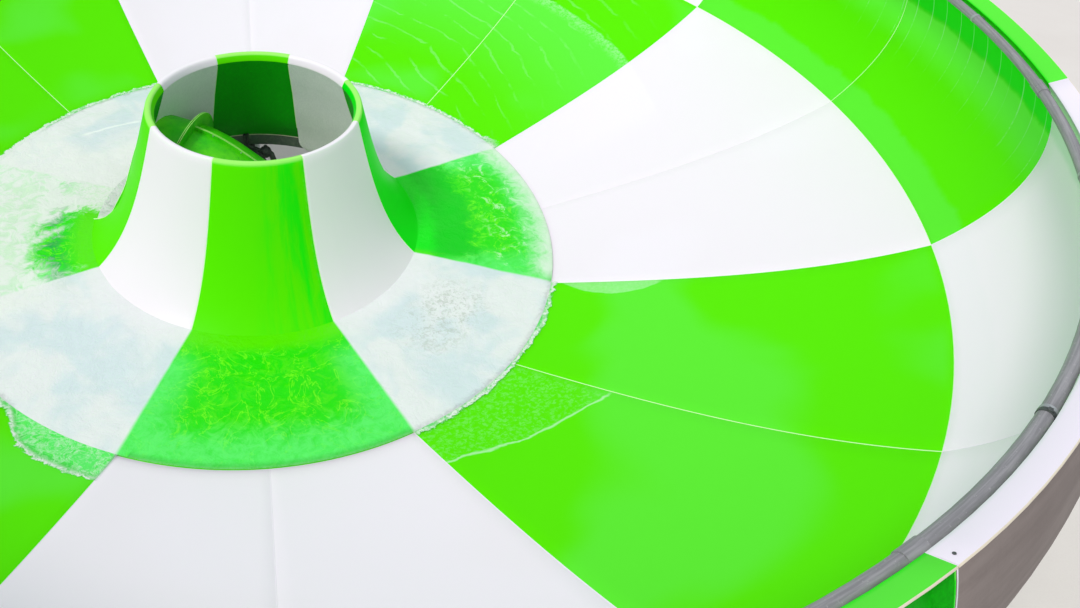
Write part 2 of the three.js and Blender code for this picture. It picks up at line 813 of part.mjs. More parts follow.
// Water supply
addPiece("spray_pipe_south_west", geometryOf(sprayPipe(-191.5, -112.5)), "pipe");
addPiece("spray_pipe_south_east", geometryOf(sprayPipe(-112.5, -22.5)), "pipe");
addPiece("spray_pipe_north_east", geometryOf(sprayPipe(-22.5, 67.5)), "pipe");
addPiece("spray_pipe_north_west", geometryOf(sprayPipe(67.5, 143.5)), "pipe");
addPiece("feed_riser", geometryOf(feedRiser()), "pipe");
addPiece("cone_feed_pipe", geometryOf(coneFeed()), "pipe");

// Steel frame
addPiece("cone_ring_frame", geometryOf(largest(coneRingFrame())), "steel");
addPiece("knee_ring_pipe", kneeRing(kneePipe), "steel");
addPiece("foot_ring_pipe", footRing(footPipe), "steel");
for (let i = 0; i < sectors; i++) {
  addPiece("support_frame_" + sectorNames[i], geometryOf(supportFrame(i * sectorTurn)), "steel");
}

export default slide;
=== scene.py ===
# A bowl water slide 14 m across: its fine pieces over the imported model, the stage and the camera.
from math import asin, atan2, ceil, cos, degrees, hypot, pi, radians, sin, sqrt

import bmesh
import bpy
from mathutils import Matrix, Vector, noise


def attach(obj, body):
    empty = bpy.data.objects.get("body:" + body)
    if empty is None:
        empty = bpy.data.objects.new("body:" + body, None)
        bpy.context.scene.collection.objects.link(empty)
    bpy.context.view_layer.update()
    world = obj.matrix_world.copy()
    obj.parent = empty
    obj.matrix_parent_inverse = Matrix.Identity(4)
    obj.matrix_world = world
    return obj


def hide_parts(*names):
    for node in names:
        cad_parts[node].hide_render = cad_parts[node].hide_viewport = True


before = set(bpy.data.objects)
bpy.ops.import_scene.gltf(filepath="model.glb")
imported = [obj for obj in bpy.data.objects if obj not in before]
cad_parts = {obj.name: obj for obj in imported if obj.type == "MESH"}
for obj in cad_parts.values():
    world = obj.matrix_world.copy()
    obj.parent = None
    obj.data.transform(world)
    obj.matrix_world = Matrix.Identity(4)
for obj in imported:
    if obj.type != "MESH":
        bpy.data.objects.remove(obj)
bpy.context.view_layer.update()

scene = bpy.context.scene

# Driving dimensions in metres. Sections are points of distance from the axis and height.
FOOT = 3.0
SECTORS = ("east", "north_east", "north", "north_west", "west", "south_west", "south", "south_east")
SECTOR_TURN = 45.0
SKIN = 0.010
FLANGE = 0.080
SEAM_GAP = 0.0035
SWEEP_STEP = 1.5
# Corners of the section, above the foot joint: the trough's bottom, the joints, the rim
TROUGH = (2.550, -0.225)
JOINT_R = 3.345
FOOT_POINT = (JOINT_R, 0.0)
KNEE_POINT = (6.585, 1.412)
RIM_POINT = (6.754, 3.143)
RIM_WIDE = 0.130
RIM_TILT = radians(32)
KNEE_FLANGE = 0.076
# Directions of the joints' flanges, away from the smooth face
FOOT_JOINT = (0.316, -0.949)
KNEE_JOINT = (0.776, -0.631)


# Sections

def bezier(a, b, c, d, steps):
    points = []
    for i in range(steps + 1):
        t = i / steps
        u = 1 - t
        weights = (u * u * u, 3 * u * u * t, 3 * u * t * t, t * t * t)
        points.append(tuple(sum(w * p[k] for w, p in zip(weights, (a, b, c, d))) for k in (0, 1)))
    return points


def raised(points):
    return [(r, z + FOOT) for r, z in points]


def moved(point, direction, distance):
    return (point[0] + direction[0] * distance, point[1] + direction[1] * distance)


def backs(points, start=None, end=None):
    """Unit directions away from the smooth face, square to the section, or given ones at its ends."""
    out = []
    for i in range(len(points)):
        before = points[max(i - 1, 0)]
        after = points[min(i + 1, len(points) - 1)]
        dr, dz = after[0] - before[0], after[1] - before[1]
        size = hypot(dr, dz)
        out.append((dz / size, -dr / size))
    if start:
        out[0] = start
    if end:
        out[-1] = end
    return out


def back_of(points, depth, start=None, end=None):
    return [moved(p, d, depth) for p, d in zip(points, backs(points, start, end))]


def floor_line(steps):
    return raised(bezier(FOOT_POINT, (4.600, 0.400), (5.750, 0.810), KNEE_POINT, steps))


cone_side = bezier((1.117, 1.558), (1.335, 0.750), (1.550, TROUGH[1]), TROUGH, 34)
trough_side = bezier(TROUGH, (2.850, TROUGH[1]), (3.100, -0.085), FOOT_POINT, 12)
cone_front = raised(cone_side + trough_side[1:])
floor_front = floor_line(30)
wall_front = raised(bezier(KNEE_POINT, (7.000, 1.930), (7.200, 2.520), RIM_POINT, 30))
lip_band = raised([(1.027, 1.495), (1.033, 1.513), (1.045, 1.543), (1.057, 1.564), (1.069, 1.573),
                   (1.087, 1.5765), (1.105, 1.575)])
upper_skin = [(1.350, 0.435), (1.311, 0.560), (1.272, 0.700), (1.234, 0.840), (1.188, 1.015),
              (1.135, 1.165), (1.081, 1.325), (1.036, 1.473)]
# The green inner skins stand on the ring beam, and the white ones hang down in front of it.
standing_skin = raised([(1.500, 0.190), (1.452, 0.262), (1.404, 0.345)] + upper_skin)
hanging_skin = raised([(1.452, 0.045), (1.436, 0.105), (1.416, 0.190), (1.396, 0.275), (1.376, 0.350)]
                      + upper_skin)
rim_way = (cos(RIM_TILT), sin(RIM_TILT))
rim_flange = moved(wall_front[-1], rim_way, RIM_WIDE)
skin_foot = moved(wall_front[0], KNEE_JOINT, KNEE_FLANGE)
skin_top = (rim_flange[0] - 0.004, rim_flange[1] - 0.013)
outer_skin = bezier(skin_foot, (7.060, FOOT + 1.870), (7.1965, FOOT + 2.550), skin_top, 30)


# Places round the axis

def out_from(angle):
    return Vector((cos(radians(angle)), sin(radians(angle)), 0))


def across(angle):
    return Vector((-sin(radians(angle)), cos(radians(angle)), 0))


def at(r, z, angle, offset=0.0):
    return out_from(angle) * r + across(angle) * offset + Vector((0, 0, z))


# Mesh helpers

def everything(bm):
    return bm.verts[:] + bm.edges[:] + bm.faces[:]


def swept(points, start, end, step=SWEEP_STEP):
    """A sheet swept round the axis. Its front is on the left of the way the points go."""
    bm = bmesh.new()
    verts = [bm.verts.new(at(r, z, start)) for r, z in points]
    edges = [bm.edges.new(pair) for pair in zip(verts, verts[1:])]
    bmesh.ops.spin(
        bm, geom=verts + edges, cent=(0, 0, 0), axis=(0, 0, 1), dvec=(0, 0, 0),
        angle=radians(end - start), steps=max(1, round((end - start) / step)),
        use_merge=False, use_normal_flip=False, use_duplicate=False,
    )
    return bm


def trim(bm, angle, side, gap=SEAM_GAP):
    """Cuts a sheet off beside a seam. side is 1 where the sheet lies past the seam, -1 before it."""
    normal = across(angle) * side
    bmesh.ops.bisect_plane(
        bm, geom=everything(bm), dist=1e-6, plane_co=normal * gap, plane_no=normal, clear_inner=True,
    )


def seam_edges(bm, angle, side, gap=SEAM_GAP):
    normal = across(angle) * side
    return [e for e in bm.edges if e.is_boundary
            and all(abs(v.co.dot(normal) - gap) < 1e-5 and v.co.dot(out_from(angle)) > 0 for v in e.verts)]


def nearest(places, point):
    """The index of the place nearest a point."""
    return min(range(len(places)), key=lambda i: hypot(places[i][0] - point[0], places[i][1] - point[1]))


def on_line(line, spot, near=0.004):
    """Whether a spot lies at one of a line's points."""
    return hypot(*(s - p for s, p in zip(spot, line[nearest(line, spot)]))) < near


def radial(v):
    """A vertex's distance from the axis, and its height."""
    return (hypot(v.co.x, v.co.y), v.co.z)


def turn_back(bm, angle, side, front, back, gap=SEAM_GAP):
    """A flange along a seam: the cut edge is drawn back from each point of front to its point of back."""
    normal = across(angle) * side
    edges = []
    for edge in seam_edges(bm, angle, side, gap):
        if all(on_line(front, radial(v)) for v in edge.verts):
            edges.append(edge)
    made = bmesh.ops.extrude_edge_only(bm, edges=edges)["geom"]
    for v in [g for g in made if isinstance(g, bmesh.types.BMVert)]:
        r, z = back[nearest(front, radial(v))]
        v.co = out_from(angle) * sqrt(r * r - gap * gap) + normal * gap + Vector((0, 0, z))


def turn_face(bm, spot, direction):
    """All faces the same way round, with the one nearest a spot facing a direction."""
    bmesh.ops.recalc_face_normals(bm, faces=bm.faces[:])
    face = min(bm.faces, key=lambda f: (f.calc_center_median() - spot).length)
    if face.normal.dot(direction) < 0:
        bmesh.ops.reverse_faces(bm, faces=bm.faces[:])


def face_front(bm, spot, direction):
    """The same, once vertices in one place are joined."""
    bmesh.ops.remove_doubles(bm, verts=bm.verts[:], dist=1e-4)
    turn_face(bm, spot, direction)


def take_in(bm, other):
    """Adds another bmesh's geometry, and frees it."""
    mesh = bpy.data.meshes.new("part")
    other.to_mesh(mesh)
    other.free()
    bm.from_mesh(mesh)
    bpy.data.meshes.remove(mesh)


def settle(obj, sharp=32):
    """Makes an object's modifiers part of its mesh, smooth but for its sharp edges."""
    depsgraph = bpy.context.evaluated_depsgraph_get()
    mesh = bpy.data.meshes.new_from_object(obj.evaluated_get(depsgraph))
    old = obj.data
    obj.modifiers.clear()
    obj.data = mesh
    bpy.data.meshes.remove(old)
    mesh.shade_smooth()
    mesh.set_sharp_from_angle(angle=radians(sharp))


def piece(name, bm, materials, replaces=(), thick=0.0, back=0, rim=0, bevel=0.0, sharp=32):
    mesh = bpy.data.meshes.new(name)
    bm.to_mesh(mesh)
    bm.free()
    for material in materials:
        mesh.materials.append(material)
    obj = bpy.data.objects.new(name, mesh)
    scene.collection.objects.link(obj)
    if thick:
        solid = obj.modifiers.new("thickness", "SOLIDIFY")
        solid.thickness = thick
        solid.offset = -1
        solid.use_even_offset = True
        solid.thickness_clamp = 1.0
        solid.material_offset = back
        solid.material_offset_rim = rim
    if bevel:
        soft = obj.modifiers.new("edges", "BEVEL")
        soft.width = bevel
        soft.segments = 2
        soft.limit_method = "ANGLE"
        soft.angle_limit = radians(40)
    settle(obj, sharp)
    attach(obj, "root")
    if replaces:
        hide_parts(*replaces)
    return obj


def plate(bm, outline, thickness, place, edge=0):
    """A flat plate round an outline in a place's XY plane. edge is the material of its rim."""
    verts = [bm.verts.new(place @ Vector((x, y, -thickness / 2))) for x, y in outline]
    made = bmesh.ops.extrude_face_region(bm, geom=[bm.faces.new(verts)])["geom"]
    shift = place.to_3x3() @ Vector((0, 0, thickness))
    bmesh.ops.translate(bm, verts=[g for g in made if isinstance(g, bmesh.types.BMVert)], vec=shift)
    across_it = place.col[2].to_3d().normalized()
    for f in {f for v in verts for f in v.link_faces}:
        f.normal_update()
        f.material_index = 0 if abs(f.normal.dot(across_it)) > 0.5 else edge


def rod(bm, start, end, radius, sides=24, end_radius=None):
    """A round bar with closed ends."""
    start, end = Vector(start), Vector(end)
    bmesh.ops.create_cone(
        bm, cap_ends=True, segments=sides, radius1=radius, depth=(end - start).length,
        radius2=radius if end_radius is None else end_radius, matrix=facing(end - start, (start + end) / 2),
    )


def post(bm, place, low, high, radius, sides=24, end_radius=None):
    """A round bar along a place's own Z, from one height to another."""
    rod(bm, place @ Vector((0, 0, low)), place @ Vector((0, 0, high)), radius, sides, end_radius)


def bar(bm, size, place):
    """A block with the three sizes, in a place."""
    bmesh.ops.create_cube(bm, size=1, matrix=place @ Matrix.Diagonal((*size, 1)))


def facing(direction, spot=(0, 0, 0)):
    """A place at a spot, whose own Z points a direction."""
    return Matrix.Translation(spot) @ Vector(direction).to_track_quat("Z", "Y").to_matrix().to_4x4()


def shifted(place, x, y, z):
    """A place moved along its own axes."""
    return place @ Matrix.Translation((x, y, z))


def turned(place, angle, axis):
    """A place turned round one of its own axes, in degrees."""
    return place @ Matrix.Rotation(radians(angle), 4, axis)


def upright(r, z, angle):
    """A place at an angle round the axis: X outwards, Y along the ring, Z up."""
    return Matrix.Translation(at(r, z, angle)) @ Matrix.Rotation(radians(angle), 4, "Z")


# A bolt's washer and its head, in sizes of the bolt: sides, radius below and above, height, middle
BOLT_PARTS = ((10, 1.15, 1.10, 0.20, 0.10), (6, 0.85, 0.80, 0.65, 0.50))


def bolt(bm, place, size=0.012):
    """A washer and a hexagon head, standing on a place's own XY plane."""
    for sides, below, above, tall, middle in BOLT_PARTS:
        bmesh.ops.create_cone(
            bm, cap_ends=True, segments=sides, radius1=size * below, radius2=size * above,
            depth=size * tall, matrix=shifted(place, 0, 0, size * middle),
        )


def arc(radius, start, end, steps):
    """Points of an arc, counted in degrees from X towards Y."""
    turns = [radians(start + (end - start) * i / steps) for i in range(steps + 1)]
    return [(radius * cos(turn), radius * sin(turn)) for turn in turns]


def spaced(start, end, step):
    count = max(1, round((end - start) / step))
    return [start + (end - start) * i / count for i in range(count + 1)]


def drawn(bm, outline, places, closed=False):
    """A sheet drawn from place to place, with an outline in each place's own XY plane."""
    verts = [bm.verts.new(places[0] @ Vector((x, y, 0))) for x, y in outline]
    pairs = list(zip(verts, verts[1:]))
    if closed:
        pairs.append((verts[-1], verts[0]))
    edges = [bm.edges.new(pair) for pair in pairs]
    for before, after in zip(places, places[1:]):
        made = bmesh.ops.extrude_edge_only(bm, edges=edges)["geom"]
        verts = [g for g in made if isinstance(g, bmesh.types.BMVert)]
        edges = [g for g in made if isinstance(g, bmesh.types.BMEdge) and g.is_boundary
                 and g.verts[0] in verts and g.verts[1] in verts]
        bmesh.ops.transform(bm, matrix=after @ before.inverted(), verts=verts)


def along_line(bm, points, radius, sides=12, closed=False):
    """A round bar through points."""
    count = len(points)
    places = []
    for i, point in enumerate(points):
        before = points[i - 1] if i or closed else points[0]
        after = points[(i + 1) % count] if i < count - 1 or closed else points[-1]
        quat = (after - before).to_track_quat("Z", "Y")
        if places:
            ahead = (after - before).normalized()
            side = places[-1].col[0].to_3d()
            side = (side - ahead * side.dot(ahead)).normalized()
            rotation = Matrix((side, ahead.cross(side), ahead)).transposed().to_4x4()
            places.append(Matrix.Translation(point) @ rotation)
        else:
            places.append(Matrix.Translation(point) @ quat.to_matrix().to_4x4())
    if closed:
        places.append(places[0])
    part = bmesh.new()
    drawn(part, arc(radius, 0, 360 - 360 / sides, sides - 1), places, closed=True)
    if not closed:
        bmesh.ops.holes_fill(part, edges=[e for e in part.edges if e.is_boundary], sides=0)
    bmesh.ops.remove_doubles(part, verts=part.verts[:], dist=1e-5)
    bmesh.ops.recalc_face_normals(part, faces=part.faces[:])
    take_in(bm, part)


def bent(points, radius, steps=8):
    """The same points with each inner corner turned into a round bend."""
    out = [Vector(points[0])]
    for i in range(1, len(points) - 1):
        corner = Vector(points[i])
        back = Vector(points[i - 1]) - corner
        ahead = Vector(points[i + 1]) - corner
        reach = min(radius, 0.45 * ahead.length, 0.45 * back.length)
        for k in range(steps + 1):
            t = k / steps
            shift = back.normalized() * (1 - t) ** 2 + ahead.normalized() * t * t
            out.append(corner + shift * reach)
    out.append(Vector(points[-1]))
    return out


def collar(bm, start, end, radius, sides=24):
    """A sleeve with bevelled ends on a pipe."""
    start, end = Vector(start), Vector(end)
    lip = (end - start).normalized() * 0.004
    rod(bm, start, start + lip, radius - 0.004, sides, radius)
    rod(bm, start + lip, end - lip, radius, sides)
    rod(bm, end - lip, end, radius, sides, radius - 0.004)


def curved_band(bm, outline, places, thickness=0.006):
    """A plate bent to an outline, drawn from place to place."""
    band = bmesh.new()
    drawn(band, outline, places)
    bmesh.ops.recalc_face_normals(band, faces=band.faces[:])
    bmesh.ops.solidify(band, geom=band.faces[:], thickness=thickness)
    take_in(bm, band)


def ring_arc(bm, r, z, radius, start, end, sides=20, step=1.5, closed=False):
    """A round bar bent round the axis."""
    place = turned(upright(r, z, start), 90, "X")
    made = bmesh.ops.create_circle(bm, cap_ends=not closed, segments=sides, radius=radius, matrix=place)
    verts = made["verts"]
    edges = list({e for v in verts for e in v.link_edges})
    faces = list({f for v in verts for f in v.link_faces})
    bmesh.ops.spin(
        bm, geom=verts + edges + faces, cent=(0, 0, 0), axis=(0, 0, 1), dvec=(0, 0, 0),
        angle=radians(end - start), steps=round((end - start) / step),
        use_merge=closed, use_normal_flip=False, use_duplicate=False,
    )


def strip(bm, line, wide, thick, place):
    """A flat bar laid along a line of the place's own X and Z, with its thickness below the line."""
    part = bmesh.new()
    plate(part, list(line) + back_of(line, thick)[::-1], wide, turned(place, 90, "X"))
    take_in(bm, part)


def anchor(bm, place, size=0.016):
    """An anchor bolt's stub with its nut and washer, standing on a place's own XY plane."""
    bolt(bm, place, size * 1.25)
    post(bm, place, size * 0.6, size * 2.6, size * 0.55, 10)


def between(line, r):
    """The point of a line at a distance from the axis, or the end beyond which it lies."""
    if r < min(line[0][0], line[-1][0]):
        return (r, min(line, key=lambda p: p[0])[1])
    for a, b in zip(line, line[1:]):
        low, high = sorted((a[0], b[0]))
        if low <= r <= high and high > low:
            share = (r - a[0]) / (b[0] - a[0])
            return (r, a[1] + (b[1] - a[1]) * share)
    return line[-1]


def radius_at(line, z):
    """The distance from the axis of a line's point at a height."""
    for a, b in zip(line, line[1:]):
        if a[1] <= z <= b[1]:
            return a[0] + (b[0] - a[0]) * (z - a[1]) / (b[1] - a[1])
    return line[-1][0]


# Shader maths

class Shade:
    """A socket of a material's node tree, with arithmetic that adds Math nodes."""

    def __init__(self, tree, socket):
        self.tree = tree
        self.socket = socket

    def node(self, kind, settings=None, inputs=None, output=0):
        made = self.tree.nodes.new(kind)
        for key, value in (settings or {}).items():
            if key == "stops":
                ramp = made.color_ramp
                while len(ramp.elements) < len(value):
                    ramp.elements.new(0.5)
                for element, (where, colour) in zip(ramp.elements, value):
                    element.position = where
                    element.color = colour
            else:
                setattr(made, key, value)
        for key, value in (inputs or {}).items():
            if isinstance(value, Shade):
                self.tree.links.new(value.socket, made.inputs[key])
            else:
                made.inputs[key].default_value = value
        return Shade(self.tree, made.outputs[output])

    def maths(self, operation, *others):
        """A Math node on this value and the others."""
        return self.node("ShaderNodeMath", {"operation": operation}, dict(enumerate((self, *others))))

    def __add__(self, other):
        return self.maths("ADD", other)

    def __radd__(self, other):
        return self.maths("ADD", other)

    def __sub__(self, other):
        return self.maths("SUBTRACT", other)

    def __rsub__(self, other):
        return self.node("ShaderNodeMath", {"operation": "SUBTRACT"}, {0: other, 1: self})

    def __mul__(self, other):
        return self.maths("MULTIPLY", other)

    def __rmul__(self, other):
        return self.maths("MULTIPLY", other)

    def capped(self, most):
        return self.maths("MINIMUM", most)

    def ramp(self, low, high):
        """0 below low and 1 above high, smooth between."""
        return self.node("ShaderNodeMapRange", {"interpolation_type": "SMOOTHSTEP"},
                         {"Value": self, "From Min": low, "From Max": high})

    def band(self, middle, half):
        """1 where the value is near the middle, falling to 0 at half a width from it."""
        return 1 - (self - middle).maths("ABSOLUTE").ramp(0.0, half)

    def noise(self, scale, detail=3.0, roughness=0.55, distortion=0.0):
        """Clouds over this place."""
        return self.node("ShaderNodeTexNoise", {}, {
            "Vector": self, "Scale": scale, "Detail": detail,
            "Roughness": roughness, "Distortion": distortion,
        })

    def cells(self, scale):
        """A patchwork of cells over this place, each with a colour of its own."""
        inputs = {"Vector": self, "Scale": scale}
        return self.node("ShaderNodeTexVoronoi", {"feature": "F1"}, inputs, "Color")

    def over(self, under, colour):
        """This value's share of a colour over another colour."""
        return self.node("ShaderNodeMix", {"data_type": "RGBA"}, {0: self, 6: under, 7: colour}, output=2)

    def vector(self, x, y, z):
        return self.node("ShaderNodeCombineXYZ", {}, {0: x, 1: y, 2: z})


def material(name, paint):
    """A material whose look is set by paint(shade, shader)."""
    made = bpy.data.materials.new(name)
    made.use_nodes = True
    tree = made.node_tree
    shader = next(n for n in tree.nodes if n.type == "BSDF_PRINCIPLED")
    paint(Place(Shade(tree, None).node("ShaderNodeTexCoord", output="Object")), shader)
    return made


class Place:
    """Where a point of a surface is: in metres, and round the bowl's axis."""

    def __init__(self, where):
        self.at = where
        split = where.node("ShaderNodeSeparateXYZ", {}, {0: where}).socket.node
        self.x, self.y, self.z = (Shade(where.tree, output) for output in split.outputs)
        self.radius = (self.x * self.x + self.y * self.y).maths("SQRT")
        self.turn = self.y.maths("ARCTAN2", self.x)

    def stretched(self, x, y, z):
        """The point's place with each axis scaled."""
        return self.at.node("ShaderNodeMapping", {}, {"Vector": self.at, "Scale": (x, y, z)})

    def swirl(self, round_scale, out_scale, up_scale):
        """Round the axis, outwards and upwards, each scaled, with no seam at the back of the ring."""
        return self.at.vector(self.turn.maths("COSINE") * round_scale,
                              self.turn.maths("SINE") * round_scale,
                              self.radius * out_scale + self.z * up_scale)

    def beside(self, angle, reach, stirred=0.0):
        """1 at an angle round the axis, falling to 0 at reach degrees to both sides of it."""
        return (self.turn + stirred - radians(angle)).maths("COSINE").ramp(cos(radians(reach)), 1.0)


def wire(shader, values):
    """Values and links for a shader's sockets."""
    for key, value in values.items():
        if isinstance(value, Shade):
            shader.id_data.links.new(value.socket, shader.inputs[key])
        else:
            shader.inputs[key].default_value = value


def bump(place, height, strength, distance):
    inputs = {"Strength": strength, "Distance": distance, "Height": height}
    return place.at.node("ShaderNodeBump", {}, inputs)


def rgba(r, g, b):
    return (r, g, b, 1.0)


# Finishes

# The two gelcoats: their colour on the floor and the wall, under thin water low and high on the wall with a
# painted sheen, their painted shade, their painted highlight on the lip's crest, how glossy they are, and
# how much of the water's marks can be seen
GREEN = {
    "clear": rgba(0.100, 0.770, 0.0002), "wall": rgba(0.100, 0.770, 0.0002),
    "film": rgba(0.120, 0.800, 0.055), "high_film_sheen": rgba(0.150, 0.930, 0.060),
    "deep": rgba(0.0001, 0.780, 0.004), "crest_light_and_shore": rgba(0.430, 0.930, 0.200), "gloss": 0.04, "shows": 1.0,
}
WHITE = {
    "clear": rgba(0.895, 0.800, 0.900), "wall": rgba(0.945, 0.825, 0.955),
    "film": rgba(0.915, 0.820, 0.935), "high_film_sheen": rgba(0.945, 0.825, 0.955),
    "deep": rgba(0.700, 0.735, 0.740), "crest_light_and_shore": rgba(0.900, 0.850, 0.890), "gloss": 0.30, "shows": 0.06,
}
FOAM = rgba(0.900, 0.930, 0.910)

# The spray pipe's height, and its nozzles: one angle, and the step from one to the next, in degrees
SPRAY_Z = FOOT + 3.085
NOZZLE_AT = -21.5
NOZZLE_STEP = 2.0


def floor_film(place, small):
    """Thin water on the floor panels, as shares.

    The sheet and its rim are in the north-east, and the lens, the line and its inside in the south-east.
    """
    far = (place.x - 1.0) * (place.x - 1.0) + (place.y - 1.5) * (place.y - 1.5)
    far = far.maths("SQRT") + (small - 0.5) * 0.10
    sheet = far.ramp(2.2, 4.0) * (1 - far.ramp(4.11, 4.14)) * place.beside(40, 34).ramp(0.02, 0.35)
    rim = far.ramp(3.93, 4.11) * (1 - far.ramp(4.11, 4.14)) * place.beside(40, 34).ramp(0.02, 0.35)
    # The lens lies along the seam at -22.5 degrees
    off_seam = place.x * sin(radians(22.5)) + place.y * cos(radians(22.5)) + (small - 0.5) * 0.07
    deep = (1 - (place.radius - 3.95) * (place.radius - 3.95) * (1 / 0.52 ** 2)) * 0.20
    lens = (off_seam + deep).ramp(0.0, 0.015) * (1 - off_seam.ramp(0.10, 0.20))
    lens = lens * place.radius.ramp(3.40, 3.46) * (1 - place.radius.ramp(4.36, 4.46))
    # The line drifts outwards on its way round
    drift = place.radius - place.turn * 1.28 - 5.32 + (small - 0.5) * 0.16
    near = place.beside(-57, 13).ramp(0.0, 0.25)
    line = drift.band(0.0, 0.022) * near
    inside = (1 - drift.ramp(-0.02, 0.0)) * near
    return sheet, rim, lens, line, inside


def floor_tone(place, look, broad, small, fine, wet_sheen_patches, on_floor):
    """The floor's and the cone's colour under patches and a sheet of thin water painted lighter as a sheen,
    and the water's bright marks.
    """
    sheet, rim, lens, line, inside = floor_film(place, small)
    # The thin water's colour is a painted sheen: lighter and bluer than the gelcoat
    tone = (wet_sheen_patches + sheet * 0.90 * on_floor).capped(1.0).over(look["clear"], look["film"])
    drift = (place.radius - place.turn * 1.78 + small * 0.16 + broad * 0.6) * 21.0
    drift = drift.maths("COSINE").ramp(0.90, 1.0) * place.beside(52, 30) * on_floor * small.ramp(0.40, 0.60)
    marks = drift * 0.10 + rim * 0.24 * fine.ramp(0.35, 0.65) + lens * (0.10 + 0.24 * fine) + line * 0.40
    marks = marks + inside * fine.ramp(0.45, 0.65) * 0.08
    return (marks * look["shows"]).over(tone, FOAM)


def wall_tone(place, look, tone, on_wall, small):
    """The wall: a film above the knee and another under the rim, both painted lighter as a sheen, and
    painted shade in a band beside the spray pipe.
    """
    tone = on_wall.over(tone, look["wall"])
    high = place.z + (small - 0.5) * 0.14
    low_film_sheen = 1 - high.ramp(FOOT + 1.62, FOOT + 1.68)
    high_film_sheen = high.ramp(FOOT + 2.16, FOOT + 2.56) * (1 - high.ramp(FOOT + 2.66, FOOT + 2.72))
    tone = (on_wall * low_film_sheen * 0.60).over(tone, look["film"])
    tone = (on_wall * high_film_sheen * 0.80).over(tone, look["high_film_sheen"])
    # Painted shade under the rim, beside the spray pipe, in the table's deep colour
    return (on_wall * high.ramp(FOOT + 2.66, FOOT + 2.74) * 0.90).over(tone, look["deep"])


def nozzle_threads(place, on_wall, small, fine):
    """The runs of water under the nozzles: whole below the pipe, and broken further down."""
    uneven = place.swirl(40.0, 0.0, 0.0).noise(1.0, 1.0)
    phase = (place.turn - radians(NOZZLE_AT)) * (360.0 / NOZZLE_STEP)
    phase = phase + (small - 0.5) * 0.5 + (uneven - 0.5) * 3.0
    thread = phase.maths("COSINE").ramp(0.980, 0.999) * uneven.ramp(0.35, 0.50)
    broken = 0.15 + 0.85 * (fine * 0.5 + small * 0.5).ramp(0.46, 0.56)
    whole = place.z.ramp(FOOT + 2.50, FOOT + 2.62)
    thread = thread * (whole + (1 - whole) * broken * 0.8) * place.z.ramp(FOOT + 2.00, FOOT + 2.60)
    return thread * (1 - place.z.ramp(SPRAY_Z - 0.01, SPRAY_Z)) * on_wall


def cone_tone(place, look, tone):
    """The cone: painted shade where it turns from the light, in streaks on the south side and all over the
    east, and a painted highlight on the crest.
    """
    shade_streaks = place.swirl(11.0, 0.0, 1.3).noise(1.0, 4.0, 0.60, 0.3).ramp(0.36, 0.66)
    on_cone = 1 - place.radius.ramp(2.5, 2.9)
    shaded = shade_streaks * place.beside(-70, 24) * 0.85 + place.beside(6, 40).ramp(0.05, 0.35)
    tone = (shaded * on_cone * look["shows"]).capped(1.0).over(tone, look["deep"])
    # A painted highlight on the lip's crest
    crest = place.z.ramp(FOOT + 1.499, FOOT + 1.509) * place.radius.ramp(1.049, 1.057)
    crest = crest * (1 - place.radius.ramp(1.114, 1.124))
    return (crest * 0.80).over(tone, look["crest_light_and_shore"])


def gelcoat(look):
    """Polished gelcoat with patches of thin water painted lighter as a sheen, the runs under the nozzles,
    painted shade, and painted highlights on the lip's crest and the rim's top.
    """
    def paint(place, shader):
        broad = place.at.noise(0.48, 2.0, 0.40, 0.3)
        small = place.at.noise(2.4, 4.0, 0.55, 0.8)
        fine = place.at.noise(26.0, 3.0, 0.65, 0.5)
        on_floor = place.radius.ramp(3.35, 3.60) * (1 - place.z.ramp(FOOT + 1.36, FOOT + 1.42))
        on_wall = place.z.ramp(FOOT + 1.40, FOOT + 1.43) * place.radius.ramp(5.0, 5.5)
        on_wall = on_wall * (1 - place.radius.ramp(7.08, 7.12))
        # Patches of thin water, painted lighter as a sheen and a little rougher
        wet_sheen_patches = broad.ramp(0.47, 0.60) * 0.60 * on_floor
        tone = floor_tone(place, look, broad, small, fine, wet_sheen_patches, on_floor)
        tone = wall_tone(place, look, tone, on_wall, small)
        tone = (nozzle_threads(place, on_wall, small, fine) * 0.24 * look["shows"]).over(tone, FOAM)
        tone = cone_tone(place, look, tone)
        # A painted highlight on the rim's top, in the thin water's sheen colour
        tone = (place.z.ramp(FOOT + 3.140, FOOT + 3.155) * 0.90).over(tone, look["film"])
        ripple = place.swirl(30.0, 7.0, 7.0).noise(1.0, 3.0, 0.6)
        waves = place.at.noise(1.3, 2.0, 0.5)
        wire(shader, {
            "Base Color": tone,
            "Roughness": 0.30 + 0.16 * small + 0.08 * wet_sheen_patches,
            "Specular IOR Level": look["gloss"],
            "Normal": bump(place, ripple * 0.30 + waves, 0.10, 0.02),
        })
    return paint


def tube_green(place, shader):
    """Green gelcoat that sees little water: dull, with dark specks and run marks."""
    cloud = place.at.noise(2.0, 4.0, 0.55)
    specks = place.at.noise(42.0, 3.0, 0.6).ramp(0.62, 0.70)
    runs = place.stretched(9, 9, 0.9).noise(1.0, 4.0, 0.6).ramp(0.50, 0.72)
    tone = cloud.ramp(0.35, 0.65).over(rgba(0.030, 0.560, 0.002), rgba(0.130, 0.740, 0.010))
    tone = (runs * 0.35).over(tone, rgba(0.010, 0.400, 0.016))
    tone = (specks * 0.6).over(tone, rgba(0.020, 0.130, 0.010))
    wire(shader, {
        "Base Color": tone,
        "Roughness": 0.34 + 0.18 * cloud + 0.10 * specks,
        "Specular IOR Level": 0.20,
        "Normal": bump(place, cloud + runs * 0.3, 0.15, 0.01),
    })


